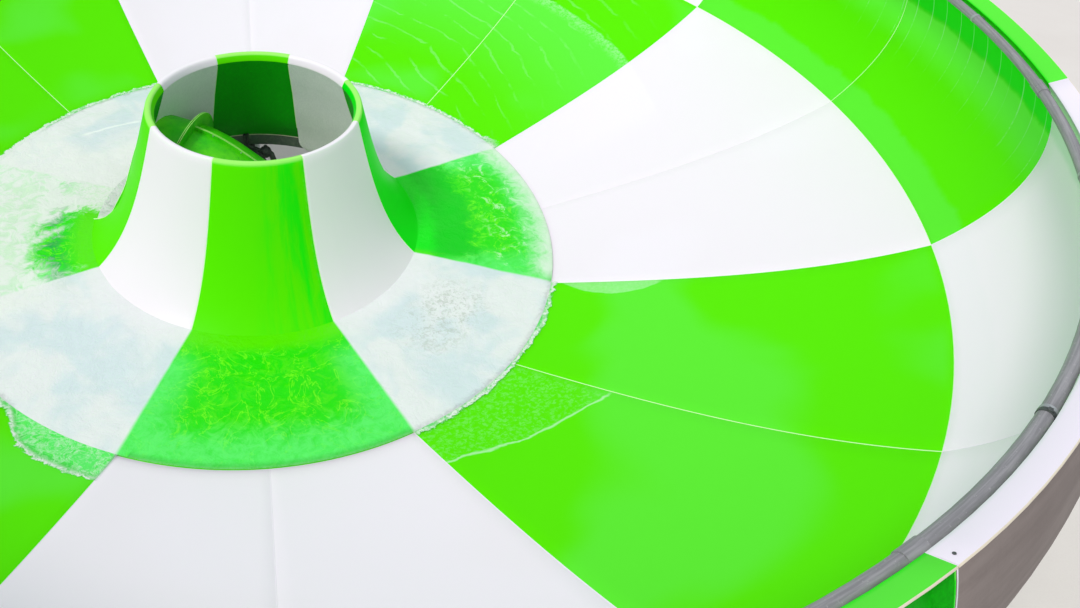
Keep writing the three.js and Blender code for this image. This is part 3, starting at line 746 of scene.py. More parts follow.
def raw_laminate(light, dark, brushed=0.0):
    """The back of a moulding: resin over chopped strands, or brushed smooth."""
    def paint(place, shader):
        strands = place.stretched(1, 1, 0.35).noise(55.0, 5.0, 0.7, 1.2)
        cloud = place.at.noise(3.2, 4.0, 0.6)
        brush = place.swirl(9.0, 22.0, 22.0).noise(1.0, 4.0, 0.6)
        runs = place.stretched(6, 6, 0.5).noise(1.0, 3.0, 0.5).ramp(0.45, 0.75)
        grain = strands * (1 - brushed) + brush * brushed
        tone = (grain.ramp(0.32, 0.72) * 0.55 + cloud * 0.35).over(dark, light)
        tone = (runs * 0.22).over(tone, dark)
        wire(shader, {
            "Base Color": tone,
            "Roughness": 0.50 + 0.22 * grain,
            "Specular IOR Level": 0.20,
            "Normal": bump(place, grain + cloud * 0.6, 0.30, 0.005),
        })
    return paint


def zinc(place, shader):
    spangle = place.at.cells(26.0)
    spangle = spangle.node("ShaderNodeSeparateColor", {}, {0: spangle})
    cloud = place.at.noise(2.1, 5.0, 0.6)
    runs = place.stretched(7, 7, 0.6).noise(1.0, 4.0, 0.6).ramp(0.50, 0.78)
    tone = (spangle * 0.35 + cloud * 0.4).over(rgba(0.30, 0.32, 0.33), rgba(0.58, 0.60, 0.61))
    tone = (runs * 0.35).over(tone, rgba(0.22, 0.21, 0.19))
    wire(shader, {
        "Base Color": tone,
        "Metallic": 0.55,
        "Roughness": 0.40 + 0.22 * cloud + 0.08 * spangle,
        "Normal": bump(place, cloud + spangle * 0.25, 0.18, 0.004),
    })


def spray_plastic(place, shader):
    scuffs = place.swirl(14.0, 60.0, 60.0).noise(1.0, 5.0, 0.65)
    flecks = place.at.noise(60.0, 3.0, 0.6).ramp(0.62, 0.74)
    tone = scuffs.ramp(0.35, 0.70).over(rgba(0.215, 0.210, 0.222), rgba(0.335, 0.325, 0.342))
    tone = (flecks * 0.35).over(tone, rgba(0.62, 0.60, 0.62))
    wire(shader, {
        "Base Color": tone,
        "Roughness": 0.46 + 0.20 * scuffs,
        "Specular IOR Level": 0.25,
        "Normal": bump(place, scuffs + flecks * 0.5, 0.25, 0.003),
    })


def dark_metal(dark, light):
    """Iron under old paint, rusting in spots."""
    def paint(place, shader):
        rust = place.at.noise(22.0, 5.0, 0.7)
        cloud = place.at.noise(5.0, 3.0, 0.6)
        wire(shader, {
            "Base Color": (rust.ramp(0.42, 0.70) * 0.7 + cloud * 0.3).over(dark, light),
            "Metallic": 0.15,
            "Roughness": 0.45 + 0.3 * rust,
            "Normal": bump(place, rust, 0.4, 0.003),
        })
    return paint


def filler(clean, grimy):
    """A bead or a cut edge, with grime in places."""
    def paint(place, shader):
        grime = place.at.noise(9.0, 5.0, 0.7)
        wire(shader, {
            "Base Color": (grime.ramp(0.50, 0.80) * 0.5).over(clean, grimy),
            "Roughness": 0.42 + 0.2 * grime,
            "Normal": bump(place, place.at.noise(70.0, 2.0, 0.5), 0.3, 0.002),
        })
    return paint


def stainless(place, shader):
    smear = place.at.noise(130.0, 3.0, 0.6)
    wire(shader, {
        "Base Color": smear.over(rgba(0.50, 0.50, 0.49), rgba(0.68, 0.68, 0.67)),
        "Metallic": 0.9,
        "Roughness": 0.26 + 0.2 * smear,
    })


WATER_GREEN = rgba(0.018, 0.725, 0.0008)
WATER_SHADED_GREEN = rgba(0.0004, 0.600, 0.005)
WATER_YELLOW_GREEN = rgba(0.150, 0.850, 0.008)
WATER_PALE_GREEN = rgba(0.110, 0.850, 0.150)
WATER_WHITE = rgba(0.800, 0.800, 0.820)
WATER_BLUE = rgba(0.670, 0.745, 0.790)
WATER_GREY = rgba(0.480, 0.520, 0.470)
TROUGH_FOAM = rgba(0.830, 0.830, 0.815)
WATER_TEAL_SHADE = rgba(0.002, 0.300, 0.090)


def water_over_green(place, churn, fine, sectors, calm):
    """Clear over the sector's middle with bright threads, paler along its sides and its outer edge, and
    painted darker as shade where it is calm.
    """
    side = (1 - sectors.ramp(0.08, 0.60)) * place.radius.ramp(2.05, 2.35)
    outer = (place.radius + (churn - 0.5) * 0.5).ramp(2.82, 3.22)
    curls = place.at.noise(2.9, 4.0, 0.58, 1.5)
    threads = curls.band(0.50, 0.022) * 0.9 + churn.ramp(0.46, 0.62) * 0.35 + fine.ramp(0.52, 0.66) * 0.15
    water = (threads * (1 - calm)).over(calm.over(WATER_GREEN, WATER_SHADED_GREEN), WATER_YELLOW_GREEN)
    cloudy = (churn * 0.6 + fine * 0.4).ramp(0.36, 0.60) * 0.40 + 0.55
    return ((side + outer).capped(1.0) * cloudy * (1 - calm)).over(water, WATER_PALE_GREEN)


def water_over_white(place, churn, broad, fine):
    """Milky and smooth, with grey mottles in one sector and a crest in another."""
    water = broad.ramp(0.40, 0.60).over(WATER_WHITE, WATER_BLUE)
    mottled = place.beside(-43, 17) * place.radius.ramp(2.00, 2.35) * (1 - place.radius.ramp(2.60, 3.00))
    grain = (fine * 0.65 + churn * 0.35).ramp(0.47, 0.62)
    water = (mottled * grain * 0.65).over(water, WATER_GREY)
    crest = (place.radius - place.turn * 0.85 - 0.77 + (churn - 0.5) * 0.04).band(0.0, 0.035)
    crest = crest * place.beside(132, 9).ramp(0.0, 0.5)
    return (crest * 0.8).over(water, FOAM)


def trough_water_look(place, shader):
    """Shallow water: it takes the colour of the panel under it, and foams at the edge and by the portal."""
    churn = place.at.noise(6.5, 6.0, 0.66, 0.9)
    broad = place.at.noise(1.6, 3.0, 0.55, 0.4)
    fine = place.at.noise(24.0, 4.0, 0.70, 0.8)
    # The cone's green panels lie in every second sector, and the floor's in the others
    outside = place.radius.ramp(JOINT_R - 0.002, JOINT_R + 0.002)
    turns = (place.turn * 4.0).maths("COSINE")
    sectors = turns * (1 - 2 * outside)
    over_green = sectors.ramp(-0.03, 0.03)
    east = place.beside(2, 28).ramp(0.02, 0.40)
    calm = east * (1 - (place.radius + (churn - 0.5) * 0.5).ramp(2.35, 2.62))
    green_water = water_over_green(place, churn, fine, sectors, calm)
    water = over_green.over(water_over_white(place, churn, broad, fine), green_water)
    # Painted teal shade and the race's foam before the portal, in clouds
    race = place.beside(176, 40).ramp(0.02, 0.45)
    teal_shade = place.radius.band(2.26, 0.24) * race * churn.ramp(0.43, 0.55)
    water = (teal_shade * (0.10 + 0.65 * over_green)).over(water, WATER_TEAL_SHADE)
    swell = place.radius + (churn - 0.5) * 0.80 + (broad - 0.5) * 1.20
    race_foam = race * swell.ramp(2.12, 2.52) * (0.76 + 0.24 * churn.ramp(0.40, 0.60))
    beside_portal = place.beside(149, 25, (churn - 0.5) * 0.40).ramp(0.0, 0.3)
    beside_portal = beside_portal * (1 - place.radius.ramp(2.15, 2.60))
    race_foam = race_foam + beside_portal * (0.78 + 0.22 * fine.ramp(0.40, 0.60))
    # The east sector's outer edge is lost in foam
    east_foam = east * (place.radius + (churn - 0.5) * 0.50).ramp(2.98, 3.36) * 0.80
    streaks = east * place.radius.band(2.85, 0.35) * churn.ramp(0.55, 0.66) * 0.50
    # The edge: a torn fringe over green floor panels, and in the south-west a spill over the joint
    spill = place.beside(249, 24).ramp(0.0, 1.0) * 0.30 * (1 - place.beside(262, 14).ramp(0.0, 0.1))
    over_white = 1 - turns.ramp(-0.05, 0.05)
    torn = (churn - 0.35) * (0.03 + over_white * 0.12) + (fine - 0.5) * (0.01 + over_white * 0.04)
    past = place.radius - (JOINT_R + 0.012 + torn + spill + east * 0.10)
    fringe = past.ramp(-0.050, -0.010) * (1 - past.ramp(0.0, 0.018)) * (0.22 + 0.55 * over_white)
    lace = churn.band(0.50, 0.05) * 0.6 + fine.ramp(0.50, 0.62) * 0.4
    foam = fringe * (0.5 + 0.5 * fine.ramp(0.38, 0.58)) + race_foam + east_foam + streaks
    foam = (foam + outside * lace * 0.50).capped(0.95)
    # Close to the cone the water has the panel's own colour, and in the east the cone's painted shade
    crest_light_and_shore = over_green.over(WATER_WHITE, east.over(GREEN["clear"], GREEN["deep"]))
    close = 1 - (place.radius + (churn - 0.5) * 0.16).ramp(1.93, 2.10)
    water = close.over(water, crest_light_and_shore)
    foam = foam * (1 - place.radius.band(1.86, 0.10) * (1 - place.beside(156, 30).ramp(0.0, 0.2)))
    shown = (1 - past.ramp(0.006, 0.018)) * (1 - east * past.ramp(-0.16, 0.0))
    shown = shown * (1 - (1 - foam) * past.ramp(-0.10, 0.0) * 0.5)
    wire(shader, {
        "Base Color": foam.over(water, TROUGH_FOAM),
        "Roughness": 0.14 + 0.45 * foam,
        "Specular IOR Level": 0.20,
        "Alpha": shown * (1 - outside * (1 - over_green)),
        "Normal": bump(place, churn + fine * 0.25, 0.38, 0.04),
    })


def race_look(place, shader):
    """The water that runs into the portal: foam over green, mottled with a painted teal shade."""
    churn = place.at.noise(7.0, 6.0, 0.66, 0.9)
    fine = place.at.noise(26.0, 4.0, 0.70, 0.8)
    mouth = (place.radius + (churn - 0.5) * 0.8).ramp(1.20, 1.60)
    foam = mouth * (0.70 + 0.28 * fine.ramp(0.40, 0.58)) + churn.band(0.50, 0.05) * 0.4
    tone = churn.ramp(0.40, 0.60).over(WATER_TEAL_SHADE, WATER_PALE_GREEN)
    wire(shader, {
        "Base Color": foam.capped(0.95).over(tone, TROUGH_FOAM),
        "Roughness": 0.30 + 0.30 * mouth,
        "Normal": bump(place, churn + fine * 0.4, 0.6, 0.05),
    })


def pale_concrete(place, shader):
    cloud = place.at.noise(0.35, 5.0, 0.6)
    grit = place.at.noise(40.0, 3.0, 0.6)
    tone = (cloud * 0.7 + grit * 0.3).over(rgba(0.66, 0.60, 0.56), rgba(0.80, 0.755, 0.72))
    wire(shader, {"Base Color": tone, "Roughness": 0.85, "Normal": bump(place, grit, 0.2, 0.01)})


def laminate(name, light, dark, brushed=0.0):
    return material(name, raw_laminate(rgba(*light), rgba(*dark), brushed))


def painted_iron(name, dark, light):
    return material(name, dark_metal(rgba(*dark), rgba(*light)))


def edging(name, clean, grimy):
    return material(name, filler(rgba(*clean), rgba(*grimy)))


green = material("green_gelcoat", gelcoat(GREEN))
white = material("white_gelcoat", gelcoat(WHITE))
green_back = laminate("green_raw_laminate", (0.002, 0.500, 0.002), (0.0005, 0.300, 0.001))
white_back = laminate("white_raw_laminate", (0.960, 0.910, 0.960), (0.770, 0.745, 0.795))
# Dark brown-grey brushed laminate for the white panels' outer skins
skin_back = laminate("dark_outer_laminate", (0.290, 0.240, 0.222), (0.170, 0.134, 0.122), 0.8)
steel = material("galvanised_steel", zinc)
beam_steel = painted_iron("painted_beam", (0.095, 0.120, 0.112), (0.190, 0.195, 0.170))
green_out = material("green_outside", tube_green)
inner_green = material("green_inside", tube_green)
edge_cream = edging("cut_laminate_edge", (0.800, 0.700, 0.550), (0.600, 0.480, 0.350))
tube_edge = edging("cut_green_edge", (0.420, 0.880, 0.190), (0.280, 0.640, 0.120))
pipe_skin = material("spray_pipe_plastic", spray_plastic)
iron = painted_iron("dark_iron", (0.040, 0.052, 0.050), (0.130, 0.138, 0.130))
bead = edging("sealant", (0.700, 0.960, 0.480), (0.520, 0.780, 0.340))
bolt_steel = material("bolt_steel", stainless)
water_look = material("trough_water", trough_water_look)
race_water = material("race_water", race_look)
concrete = material("pale_concrete", pale_concrete)


# Panels

def sides_of(start, end):
    """The two seams of a panel, each with the side of it that the panel lies on."""
    return ((start, 1), (end, -1))


def cone_panel(index):
    start = index * SECTOR_TURN - SECTOR_TURN / 2
    end = start + SECTOR_TURN
    deep = moved(cone_front[-1], FOOT_JOINT, FLANGE)
    inner_skin = standing_skin if index % 2 == 0 else hanging_skin
    chain = inner_skin + lip_band + cone_front + [deep]
    bm = swept(chain, start, end)
    # The seam flanges grow shallower towards the lip
    fall = [min(1.0, max(0.55, (FOOT + 1.6 - z) / 1.2)) for r, z in cone_front]
    directions = backs(cone_front, end=FOOT_JOINT)
    back = [moved(p, d, FLANGE * f) for p, d, f in zip(cone_front, directions, fall)]
    for angle, side in sides_of(start, end):
        trim(bm, angle, side)
        turn_back(bm, angle, side, cone_front, back)
    middle = at(*cone_front[12], (start + end) / 2)
    face_front(bm, middle, out_from((start + end) / 2) + Vector((0, 0, 0.4)))
    # The inner skin shows the laminate's raw back
    for f in bm.faces:
        c = f.calc_center_median()
        r = hypot(c.x, c.y)
        skin_radius = 1.036 + (FOOT + 1.47 - c.z) * 0.31
        if FOOT < c.z < FOOT + 1.487 and r < min(skin_radius + 0.07, 1.52):
            f.material_index = 1
    if index % 2:
        round_corners(bm, start, end)
    return bm


def round_corners(bm, start, end, radius=0.16):
    """Rounds the two lower corners of a hanging inner skin."""
    low = hanging_skin[0][1]
    reach = hanging_skin[0][0]
    for angle, side in sides_of(start, end):
        centre = at(reach, low + radius, angle, side * (radius + SEAM_GAP))
        along = across(angle) * side

        def near():
            return [f for f in bm.faces if (f.calc_center_median() - centre).length < 2.2 * radius]

        def outside(f):
            middle = f.calc_center_median()
            down, off = (middle - centre).z, (middle - centre).dot(along)
            return down < 0 and off < 0 and hypot(down, off) > radius and hypot(*middle.xy) < reach + 0.02

        for turn in (18, 36, 54, 72):
            no = -along * cos(radians(turn)) + Vector((0, 0, -sin(radians(turn))))
            faces = near()
            edges = list({e for f in faces for e in f.edges})
            verts = list({v for f in faces for v in f.verts})
            bmesh.ops.bisect_plane(
                bm, geom=faces + edges + verts, dist=1e-6, plane_co=centre + no * radius, plane_no=no,
            )
        bmesh.ops.delete(bm, geom=[f for f in near() if outside(f)], context="FACES")


def floor_panel(index):
    bm = bmesh.new()
    first = index * SECTOR_TURN - SECTOR_TURN / 2
    deep = back_of(floor_front, FLANGE, FOOT_JOINT, KNEE_JOINT)
    for start in (first, first + SECTOR_TURN / 2):
        end = start + SECTOR_TURN / 2
        part = swept([deep[0]] + floor_front + [deep[-1]], start, end)
        for angle, side in sides_of(start, end):
            trim(part, angle, side)
            turn_back(part, angle, side, floor_front, deep)
        face_front(part, at(*floor_front[15], (start + end) / 2), Vector((0, 0, 1)))
        take_in(bm, part)
    return bm


def wall_panel(index):
    bm = bmesh.new()
    first = index * SECTOR_TURN - SECTOR_TURN / 2
    last = first + SECTOR_TURN
    boxed = index % 2 == 1
    rim_edge = moved(rim_flange, rim_way, -0.003)
    lip_down = moved(rim_flange, (rim_way[1], -rim_way[0]), 0.011)
    # The middle seam's flanges, which stay inside the box of a white panel
    shallow = back_of(wall_front, 0.036 if boxed else 0.058, KNEE_JOINT)
    for start in (first, first + SECTOR_TURN / 2):
        end = start + SECTOR_TURN / 2
        part = swept([skin_foot] + wall_front + [rim_edge, rim_flange, lip_down], start, end)
        for angle, side in sides_of(start, end):
            trim(part, angle, side)
            outer = angle in (first, last)
            turn_back(part, angle, side, wall_front, outer_skin if outer else shallow)
        middle = (start + end) / 2
        face_front(part, at(*wall_front[15], middle), -out_from(middle))
        for f in part.faces:
            c = f.calc_center_median()
            if hypot(c.x, c.y) > rim_edge[0] and c.z > lip_down[1]:
                f.material_index = 2
        take_in(bm, part)
    if boxed:
        part = swept(outer_skin[::-1], first, last)
        for angle, side in sides_of(first, last):
            trim(part, angle, side)
        middle = (first + last) / 2
        face_front(part, at(*outer_skin[15], middle), out_from(middle))
        for f in part.faces:
            f.material_index = 3
        take_in(bm, part)
    return bm


def open_for(bm, planes, inside):
    """Cuts a mesh along planes, and takes out the faces whose middles lie inside."""
    for co, no in planes:
        bmesh.ops.bisect_plane(bm, geom=everything(bm), dist=1e-6, plane_co=co, plane_no=no)
    gone = [f for f in bm.faces if inside(f.calc_center_median())]
    bmesh.ops.delete(bm, geom=gone, context="FACES")


# Exit tube

# The way out's angle round the axis, and the tube's ends and joints as distance along it
EXIT_TURN = -22.5
EXIT_START = -2.62
EXIT_END = 6.56
FIN_AT = -0.90
# The tube's lengths below the portal, from joint to joint
EXIT_LENGTHS = {
    "drop": (FIN_AT, 0.70), "sweep": (0.70, 1.95), "bend": (1.95, 3.30), "runout": (3.30, EXIT_END),
}
# Places where the slope changes, with the slope there
EXIT_SLOPES = (
    (-3.0, 0.10), (-0.97, 0.10), (-0.60, 0.58), (1.50, 0.58), (3.30, 0.06), (6.96, 0.06),
)
LINE_START = FOOT + 0.525
TUBE = 0.70
TUBE_WALL = 0.010
TUBE_STEP = 0.09
RING_INNER = TUBE + TUBE_WALL - 0.002
RING_REACH = 0.768
RING_PLATE = 0.012
KEEL_REACH = 0.755
FIN_RISE = 0.100
FIN_PLATE = 0.007
# How far the drop length's long flanges are turned to the north, in degrees
DROP_TURNED = 8.5
# Half the gap between two lengths, and where the bolts sit in their rings and their long flanges
JOINT_GAP = 0.0008
RING_BOLTS = 0.742
KEEL_BOLTS = 0.737
exit_out = out_from(EXIT_TURN)
exit_side = across(EXIT_TURN)


def exit_height(along):
    height = LINE_START
    for (start, slope), (end, following) in zip(EXIT_SLOPES, EXIT_SLOPES[1:]):
        reached = min(along, end) - start
        if reached <= 0:
            break
        there = slope + (following - slope) * reached / (end - start)
        height -= (slope + there) / 2 * reached
    return height


def exit_place(along):
    """A place on the tube's middle line: X to its left side, Y up, Z backwards along it."""
    middle = exit_out * along + Vector((0, 0, exit_height(along)))
    rise = exit_height(along + 0.001) - exit_height(along - 0.001)
    ahead = (exit_out * 0.002 + Vector((0, 0, rise))).normalized()
    up = ahead.cross(exit_side).normalized()
    rotation = Matrix((exit_side, up, exit_side.cross(up))).transposed().to_4x4()
    return Matrix.Translation(middle) @ rotation


PORTAL_SIDES = 32
portal_place = exit_place(-1.6)
portal_axis = -portal_place.col[2].to_3d()


def portal_planes():
    """Planes round the portal's cut, each through a side of it."""
    radius = TUBE + TUBE_WALL + 0.001
    for i in range(PORTAL_SIDES):
        turn = 2 * pi * i / PORTAL_SIDES
        no = portal_place.to_3x3() @ Vector((cos(turn), sin(turn), 0))
        yield portal_place.translation + no * radius, no


def in_portal(c):
    """Whether a spot lies in the tube where it enters the cone."""
    rel = c - portal_place.translation
    way = rel.dot(portal_axis)
    return (rel - portal_axis * way).length < TUBE + TUBE_WALL + 0.004 and way < 1.0


# The entry flume's channel: where its middle lies, its width, its bottom and top, the radius of its
# lower corners, and the room that the wall's opening leaves round it
FLUME_X = -6.15
FLUME_WIDE = 1.300
FLUME_BOTTOM = FOOT + 2.05
FLUME_TOP = FOOT + 2.95
FLUME_BEND = 0.420
FLUME_ROOM = 0.012


def flume_planes():
    """Planes round the channel's section: its sides, its bottom and its two round corners."""
    half = FLUME_WIDE / 2 - FLUME_BEND
    middle = FLUME_BOTTOM + FLUME_BEND
    for side in (-1, 1):
        for turn in range(0, 91, 9):
            no = Vector((side * cos(radians(turn)), 0, -sin(radians(turn))))
            yield Vector((FLUME_X + side * half, 0, middle)) + no * (FLUME_BEND + FLUME_ROOM), no


def in_flume(c):
    """Whether a spot lies in the channel's section, at the bowl's north side."""
    across_it = abs(c.x - FLUME_X)
    half = FLUME_WIDE / 2 - FLUME_BEND
    if c.y < 1.0 or across_it > FLUME_WIDE / 2 + FLUME_ROOM:
        return False
    if across_it <= half:
        return c.z > FLUME_BOTTOM - FLUME_ROOM
    above = c.z - FLUME_BOTTOM - FLUME_BEND
    return above > 0 or hypot(above, across_it - half) < FLUME_BEND + FLUME_ROOM + 0.002


def panel_piece(name, sector, bm, materials):
    """A panel's visible skin, in place of its solid."""
    piece(name + "_skin_" + sector, bm, materials, [name + "_panel_" + sector],
          thick=SKIN, back=1, bevel=0.0025)


def make_panels():
    """The cone's and the wall's panels have one colour in each sector, and the floor's has the other."""
    colours = (((green, green_back), "green_grp"), ((white, white_back), "white_grp"))
    for index, sector in enumerate(SECTORS):
        own, own_slot = colours[index % 2]
        other, other_slot = colours[1 - index % 2]
        has_openings = sector in ("west", "north_west")
        bm = cone_panel(index)
        if has_openings:
            open_for(bm, portal_planes(), in_portal)
        panel_piece("cone", sector, bm, own)
        panel_piece("floor", sector, floor_panel(index), other)
        bm = wall_panel(index)
        if has_openings:
            open_for(bm, flume_planes(), in_flume)
        panel_piece("wall", sector, bm, (*own, edge_cream, skin_back))


# Beads of sealant in the seams

def seam_bead(bm, points, angle, half=0.0048, proud=0.0012):
    """A low crowned strip along a section, in a seam."""
    directions = backs(points)
    low = [moved(p, d, 0.0015) for p, d in zip(points, directions)]
    high = [moved(p, d, -proud) for p, d in zip(points, directions)]
    verts = [bm.verts.new(at(r, z, angle, -half)) for r, z in low]
    edges = [bm.edges.new(pair) for pair in zip(verts, verts[1:])]
    for line, offset in ((high, 0.0), (low, half)):
        made = bmesh.ops.extrude_edge_only(bm, edges=edges)["geom"]
        verts = [g for g in made if isinstance(g, bmesh.types.BMVert)]
        edges = [g for g in made if isinstance(g, bmesh.types.BMEdge) and all(v in verts for v in g.verts)]
        for v in verts:
            r, z = line[nearest(points, radial(v))]
            v.co = at(r, z, angle, offset)


def ring_bead(bm, point, direction, half=0.004, proud=0.0012):
    """The same strip all round the bowl, over a ring joint whose flanges lie along a direction."""
    square = (-direction[1], direction[0])
    line = [moved(moved(point, square, off), direction, depth)
            for off, depth in ((half, 0.001), (0.0, -proud), (-half, 0.001))]
    part = swept(line, 0, 360, 1.5)
    bmesh.ops.remove_doubles(part, verts=part.verts[:], dist=1e-5)
    take_in(bm, part)


BRIGHT_BEAD = 0.007
BOUNDARY_BEAD = 0.0045


def at_flume(angle):
    """Whether a seam ends at the entry flume, or in the portal below it."""
    return 150 < angle % 360 < 172


def make_beads():
    """Bright beads on the green panels, and white ones on the white panels and beside them."""
    bright = bmesh.new()
    plain = bmesh.new()
    beads = {True: (bright, BRIGHT_BEAD), False: (plain, BOUNDARY_BEAD)}
    inner_line = [p for p in standing_skin if p[1] > FOOT + 0.40]
    # Every second seam lies between two panels, and the others are in the middle of one
    for i in range(2 * len(SECTORS)):
        angle = (i - 1) * SECTOR_TURN / 2
        green_floor = i % 4 == 3
        green_wall = i % 4 == 1
        bm, half = beads[green_floor]
        seam_bead(bm, floor_front, angle, half)
        if at_flume(angle):
            continue
        bm, half = beads[green_wall]
        seam_bead(bm, wall_front + [rim_flange], angle, half)
        if i % 2 == 0:
            seam_bead(bright, inner_line, angle, 0.008)
            seam_bead(bright, lip_band + cone_front, angle, BOUNDARY_BEAD)
    ring_bead(plain, cone_front[-1], FOOT_JOINT)
    ring_bead(bright, wall_front[0], KNEE_JOINT)
    for bm in (bright, plain):
        bmesh.ops.recalc_face_normals(bm, faces=bm.faces[:])
    piece("seam_sealant", bright, [bead], sharp=60)
    piece("seam_filler", plain, [white], sharp=60)


# Water in the trough, with its foam over the foot joint

# Inside the cone's skin, so that the water's edge is where it meets the cone
WATER_INNER = 1.80
WATER_OUTER = JOINT_R + 0.015
WATER_LEVEL = FOOT + 0.020


def make_water():
    """A level sheet up to the foot joint, and from there a film on the floor panels."""
    flat = [(r, WATER_LEVEL) for r in spaced(WATER_INNER, WATER_OUTER, (WATER_OUTER - WATER_INNER) / 46)]
    film = [moved(p, d, -0.004) for p, d in zip(floor_front, backs(floor_front)) if 3.40 < p[0] < 4.15]
    bm = swept(flat + film, 0, 360, 1.0)
    bmesh.ops.remove_doubles(bm, verts=bm.verts[:], dist=1e-5)
    for v in bm.verts:
        r = hypot(v.co.x, v.co.y)
        swell = max(0.0, min(1.0, (WATER_OUTER - r) / 0.25)) * max(0.0, min(1.0, (r - WATER_INNER) / 0.15))
        wave = noise.noise(Vector((v.co.x * 3.1, v.co.y * 3.1, 0.3))) + 0.5 * noise.noise(v.co * 9.0)
        v.co.z += 0.011 * wave * swell
    face_front(bm, Vector((2.6, 0, WATER_LEVEL)), Vector((0, 0, 1)))
    piece("trough_water", bm, [water_look], sharp=80)


def ring_outline(inner, outer, start, end, rise=0.0):
    """The outline of part of a ring plate, with its outer edge perhaps lifted at the crown."""
    steps = 48
    out = []
    for i in range(steps + 1):
        turn = radians(start + (end - start) * i / steps)
        lifted = rise * sin(turn)
        reach = max(outer, lifted + sqrt(max(0.0, outer * outer - (rise * cos(turn)) ** 2)))
        out.append((reach * cos(turn), reach * sin(turn)))
    return out + arc(inner, end, start, steps)


def half_length(bm, side, start, end, twist=0.0):
    """Half a length of tube with its long flanges, perhaps turned round its line.

    side is 1 on the left of the way out, and -1 on its right.
    """
    keel = [(SEAM_GAP, KEEL_REACH), (SEAM_GAP, TUBE)]
    bend = arc(TUBE, 90, -90, 28)[1:-1]
    outline = keel + bend + [(SEAM_GAP, -TUBE), (SEAM_GAP, -KEEL_REACH)]
    outline = [(x * side, y) for x, y in outline]
    sheet = bmesh.new()
    places = [turned(exit_place(along), -twist, "Z") for along in spaced(start, end, TUBE_STEP)]
    drawn(sheet, outline, places)
    sideways = exit_side * side
    turn_face(sheet, exit_place((start + end) / 2).translation + sideways * TUBE, -sideways)
    take_in(bm, sheet)


def half_rings(bm, side, start, end):
    """The ring plates at both ends of half a length. The first of all has the lifted fin."""
    gap = degrees(SEAM_GAP / TUBE)
    first, last = (-90 + gap, 90 - gap) if side == 1 else (90 + gap, 270 - gap)
    for along, way, rise in ((start, 1, FIN_RISE if start == FIN_AT else 0.0), (end, -1, 0.0)):
        thickness = FIN_PLATE if rise else RING_PLATE
        place = exit_place(along + way * (JOINT_GAP + thickness / 2))
        plate(bm, ring_outline(RING_INNER, RING_REACH, first, last, rise), thickness, place, edge=1)


def tube_spot(along, turn):
    """A point of the tube's surface, at a turn round its line."""
    return exit_place(along) @ Vector((TUBE * cos(turn), TUBE * sin(turn), 0))


def portal_start(turn):
    """How far along the way out the tube's surface leaves the trough, at a turn round the tube."""
    for along in spaced(EXIT_START, EXIT_START + 2.0, 0.005)[:-1]:
        spot = tube_spot(along, turn)
        low = nearest([(r, 0) for r, z in cone_front], (hypot(spot.x, spot.y), 0))
        if spot.z < cone_front[low][1]:
            return along
    return EXIT_START


def portal_length():
    """The tube from the cone's skin to the fin, and the line of its edge in the cone."""
    sides = 72
    turns = [2 * pi * i / sides for i in range(sides)]
    starts = [portal_start(turn) for turn in turns]
    # The edge is smoothed three times
    for _ in range(3):
        starts = [(starts[i - 1] + 2 * starts[i] + starts[(i + 1) % sides]) / 4 for i in range(sides)]
    bm = bmesh.new()
    verts = bmesh.ops.create_circle(bm, cap_ends=False, segments=sides, radius=TUBE)["verts"]
    own_turns = [atan2(v.co.y, v.co.x) % (2 * pi) for v in verts]
    own_starts = [starts[round(turn / (2 * pi) * sides) % sides] for turn in own_turns]
    steps = 18
    edges = bm.edges[:]
    for k in range(steps + 1):
        if k:
            made = bmesh.ops.extrude_edge_only(bm, edges=edges)["geom"]
            fresh = {g for g in made if isinstance(g, bmesh.types.BMVert)}
            edges = [g for g in made if isinstance(g, bmesh.types.BMEdge) and set(g.verts) <= fresh]
            verts = [next(e.other_vert(v) for e in v.link_edges if e.other_vert(v) in fresh) for v in verts]
        for v, turn, first in zip(verts, own_turns, own_starts):
            v.co = tube_spot(first + (FIN_AT - first) * k / steps, turn)
    turn_face(bm, tube_spot(-1.1, 0.0), -exit_side)
    return bm, [tube_spot(first, turn) for first, turn in zip(starts, turns)]


RACE_REACH = (1.80, 1.02)


def make_race():
    """The water that runs from the trough into the portal, as wide as the tube is at its height."""
    bm = bmesh.new()
    bmesh.ops.create_grid(bm, x_segments=30, y_segments=36, size=1)
    for v in bm.verts:
        share = (v.co.y + 1) / 2
        r = RACE_REACH[0] + (RACE_REACH[1] - RACE_REACH[0]) * share
        level = WATER_LEVEL - 0.10 * share
        wide = sqrt((TUBE - 0.004) ** 2 - (exit_height(-r) - level) ** 2)
        off = wide * v.co.x
        spot = exit_out * -sqrt(r * r - off * off) + exit_side * off
        calm = (1 - abs(v.co.x) ** 6) * min(1.0, share * 6)
        wave = noise.noise(Vector((spot.x * 4.1, spot.y * 4.1, 0.7))) + 0.5 * noise.noise(spot * 11.0)
        v.co = spot + Vector((0, 0, level + 0.018 * wave * calm))
    face_front(bm, Vector((-1.3, 0.5, FOOT)), Vector((0, 0, 1)))
    piece("race_water", bm, [race_water], sharp=80)


def twist_of(name):
    return DROP_TURNED if name == "drop" else 0.0


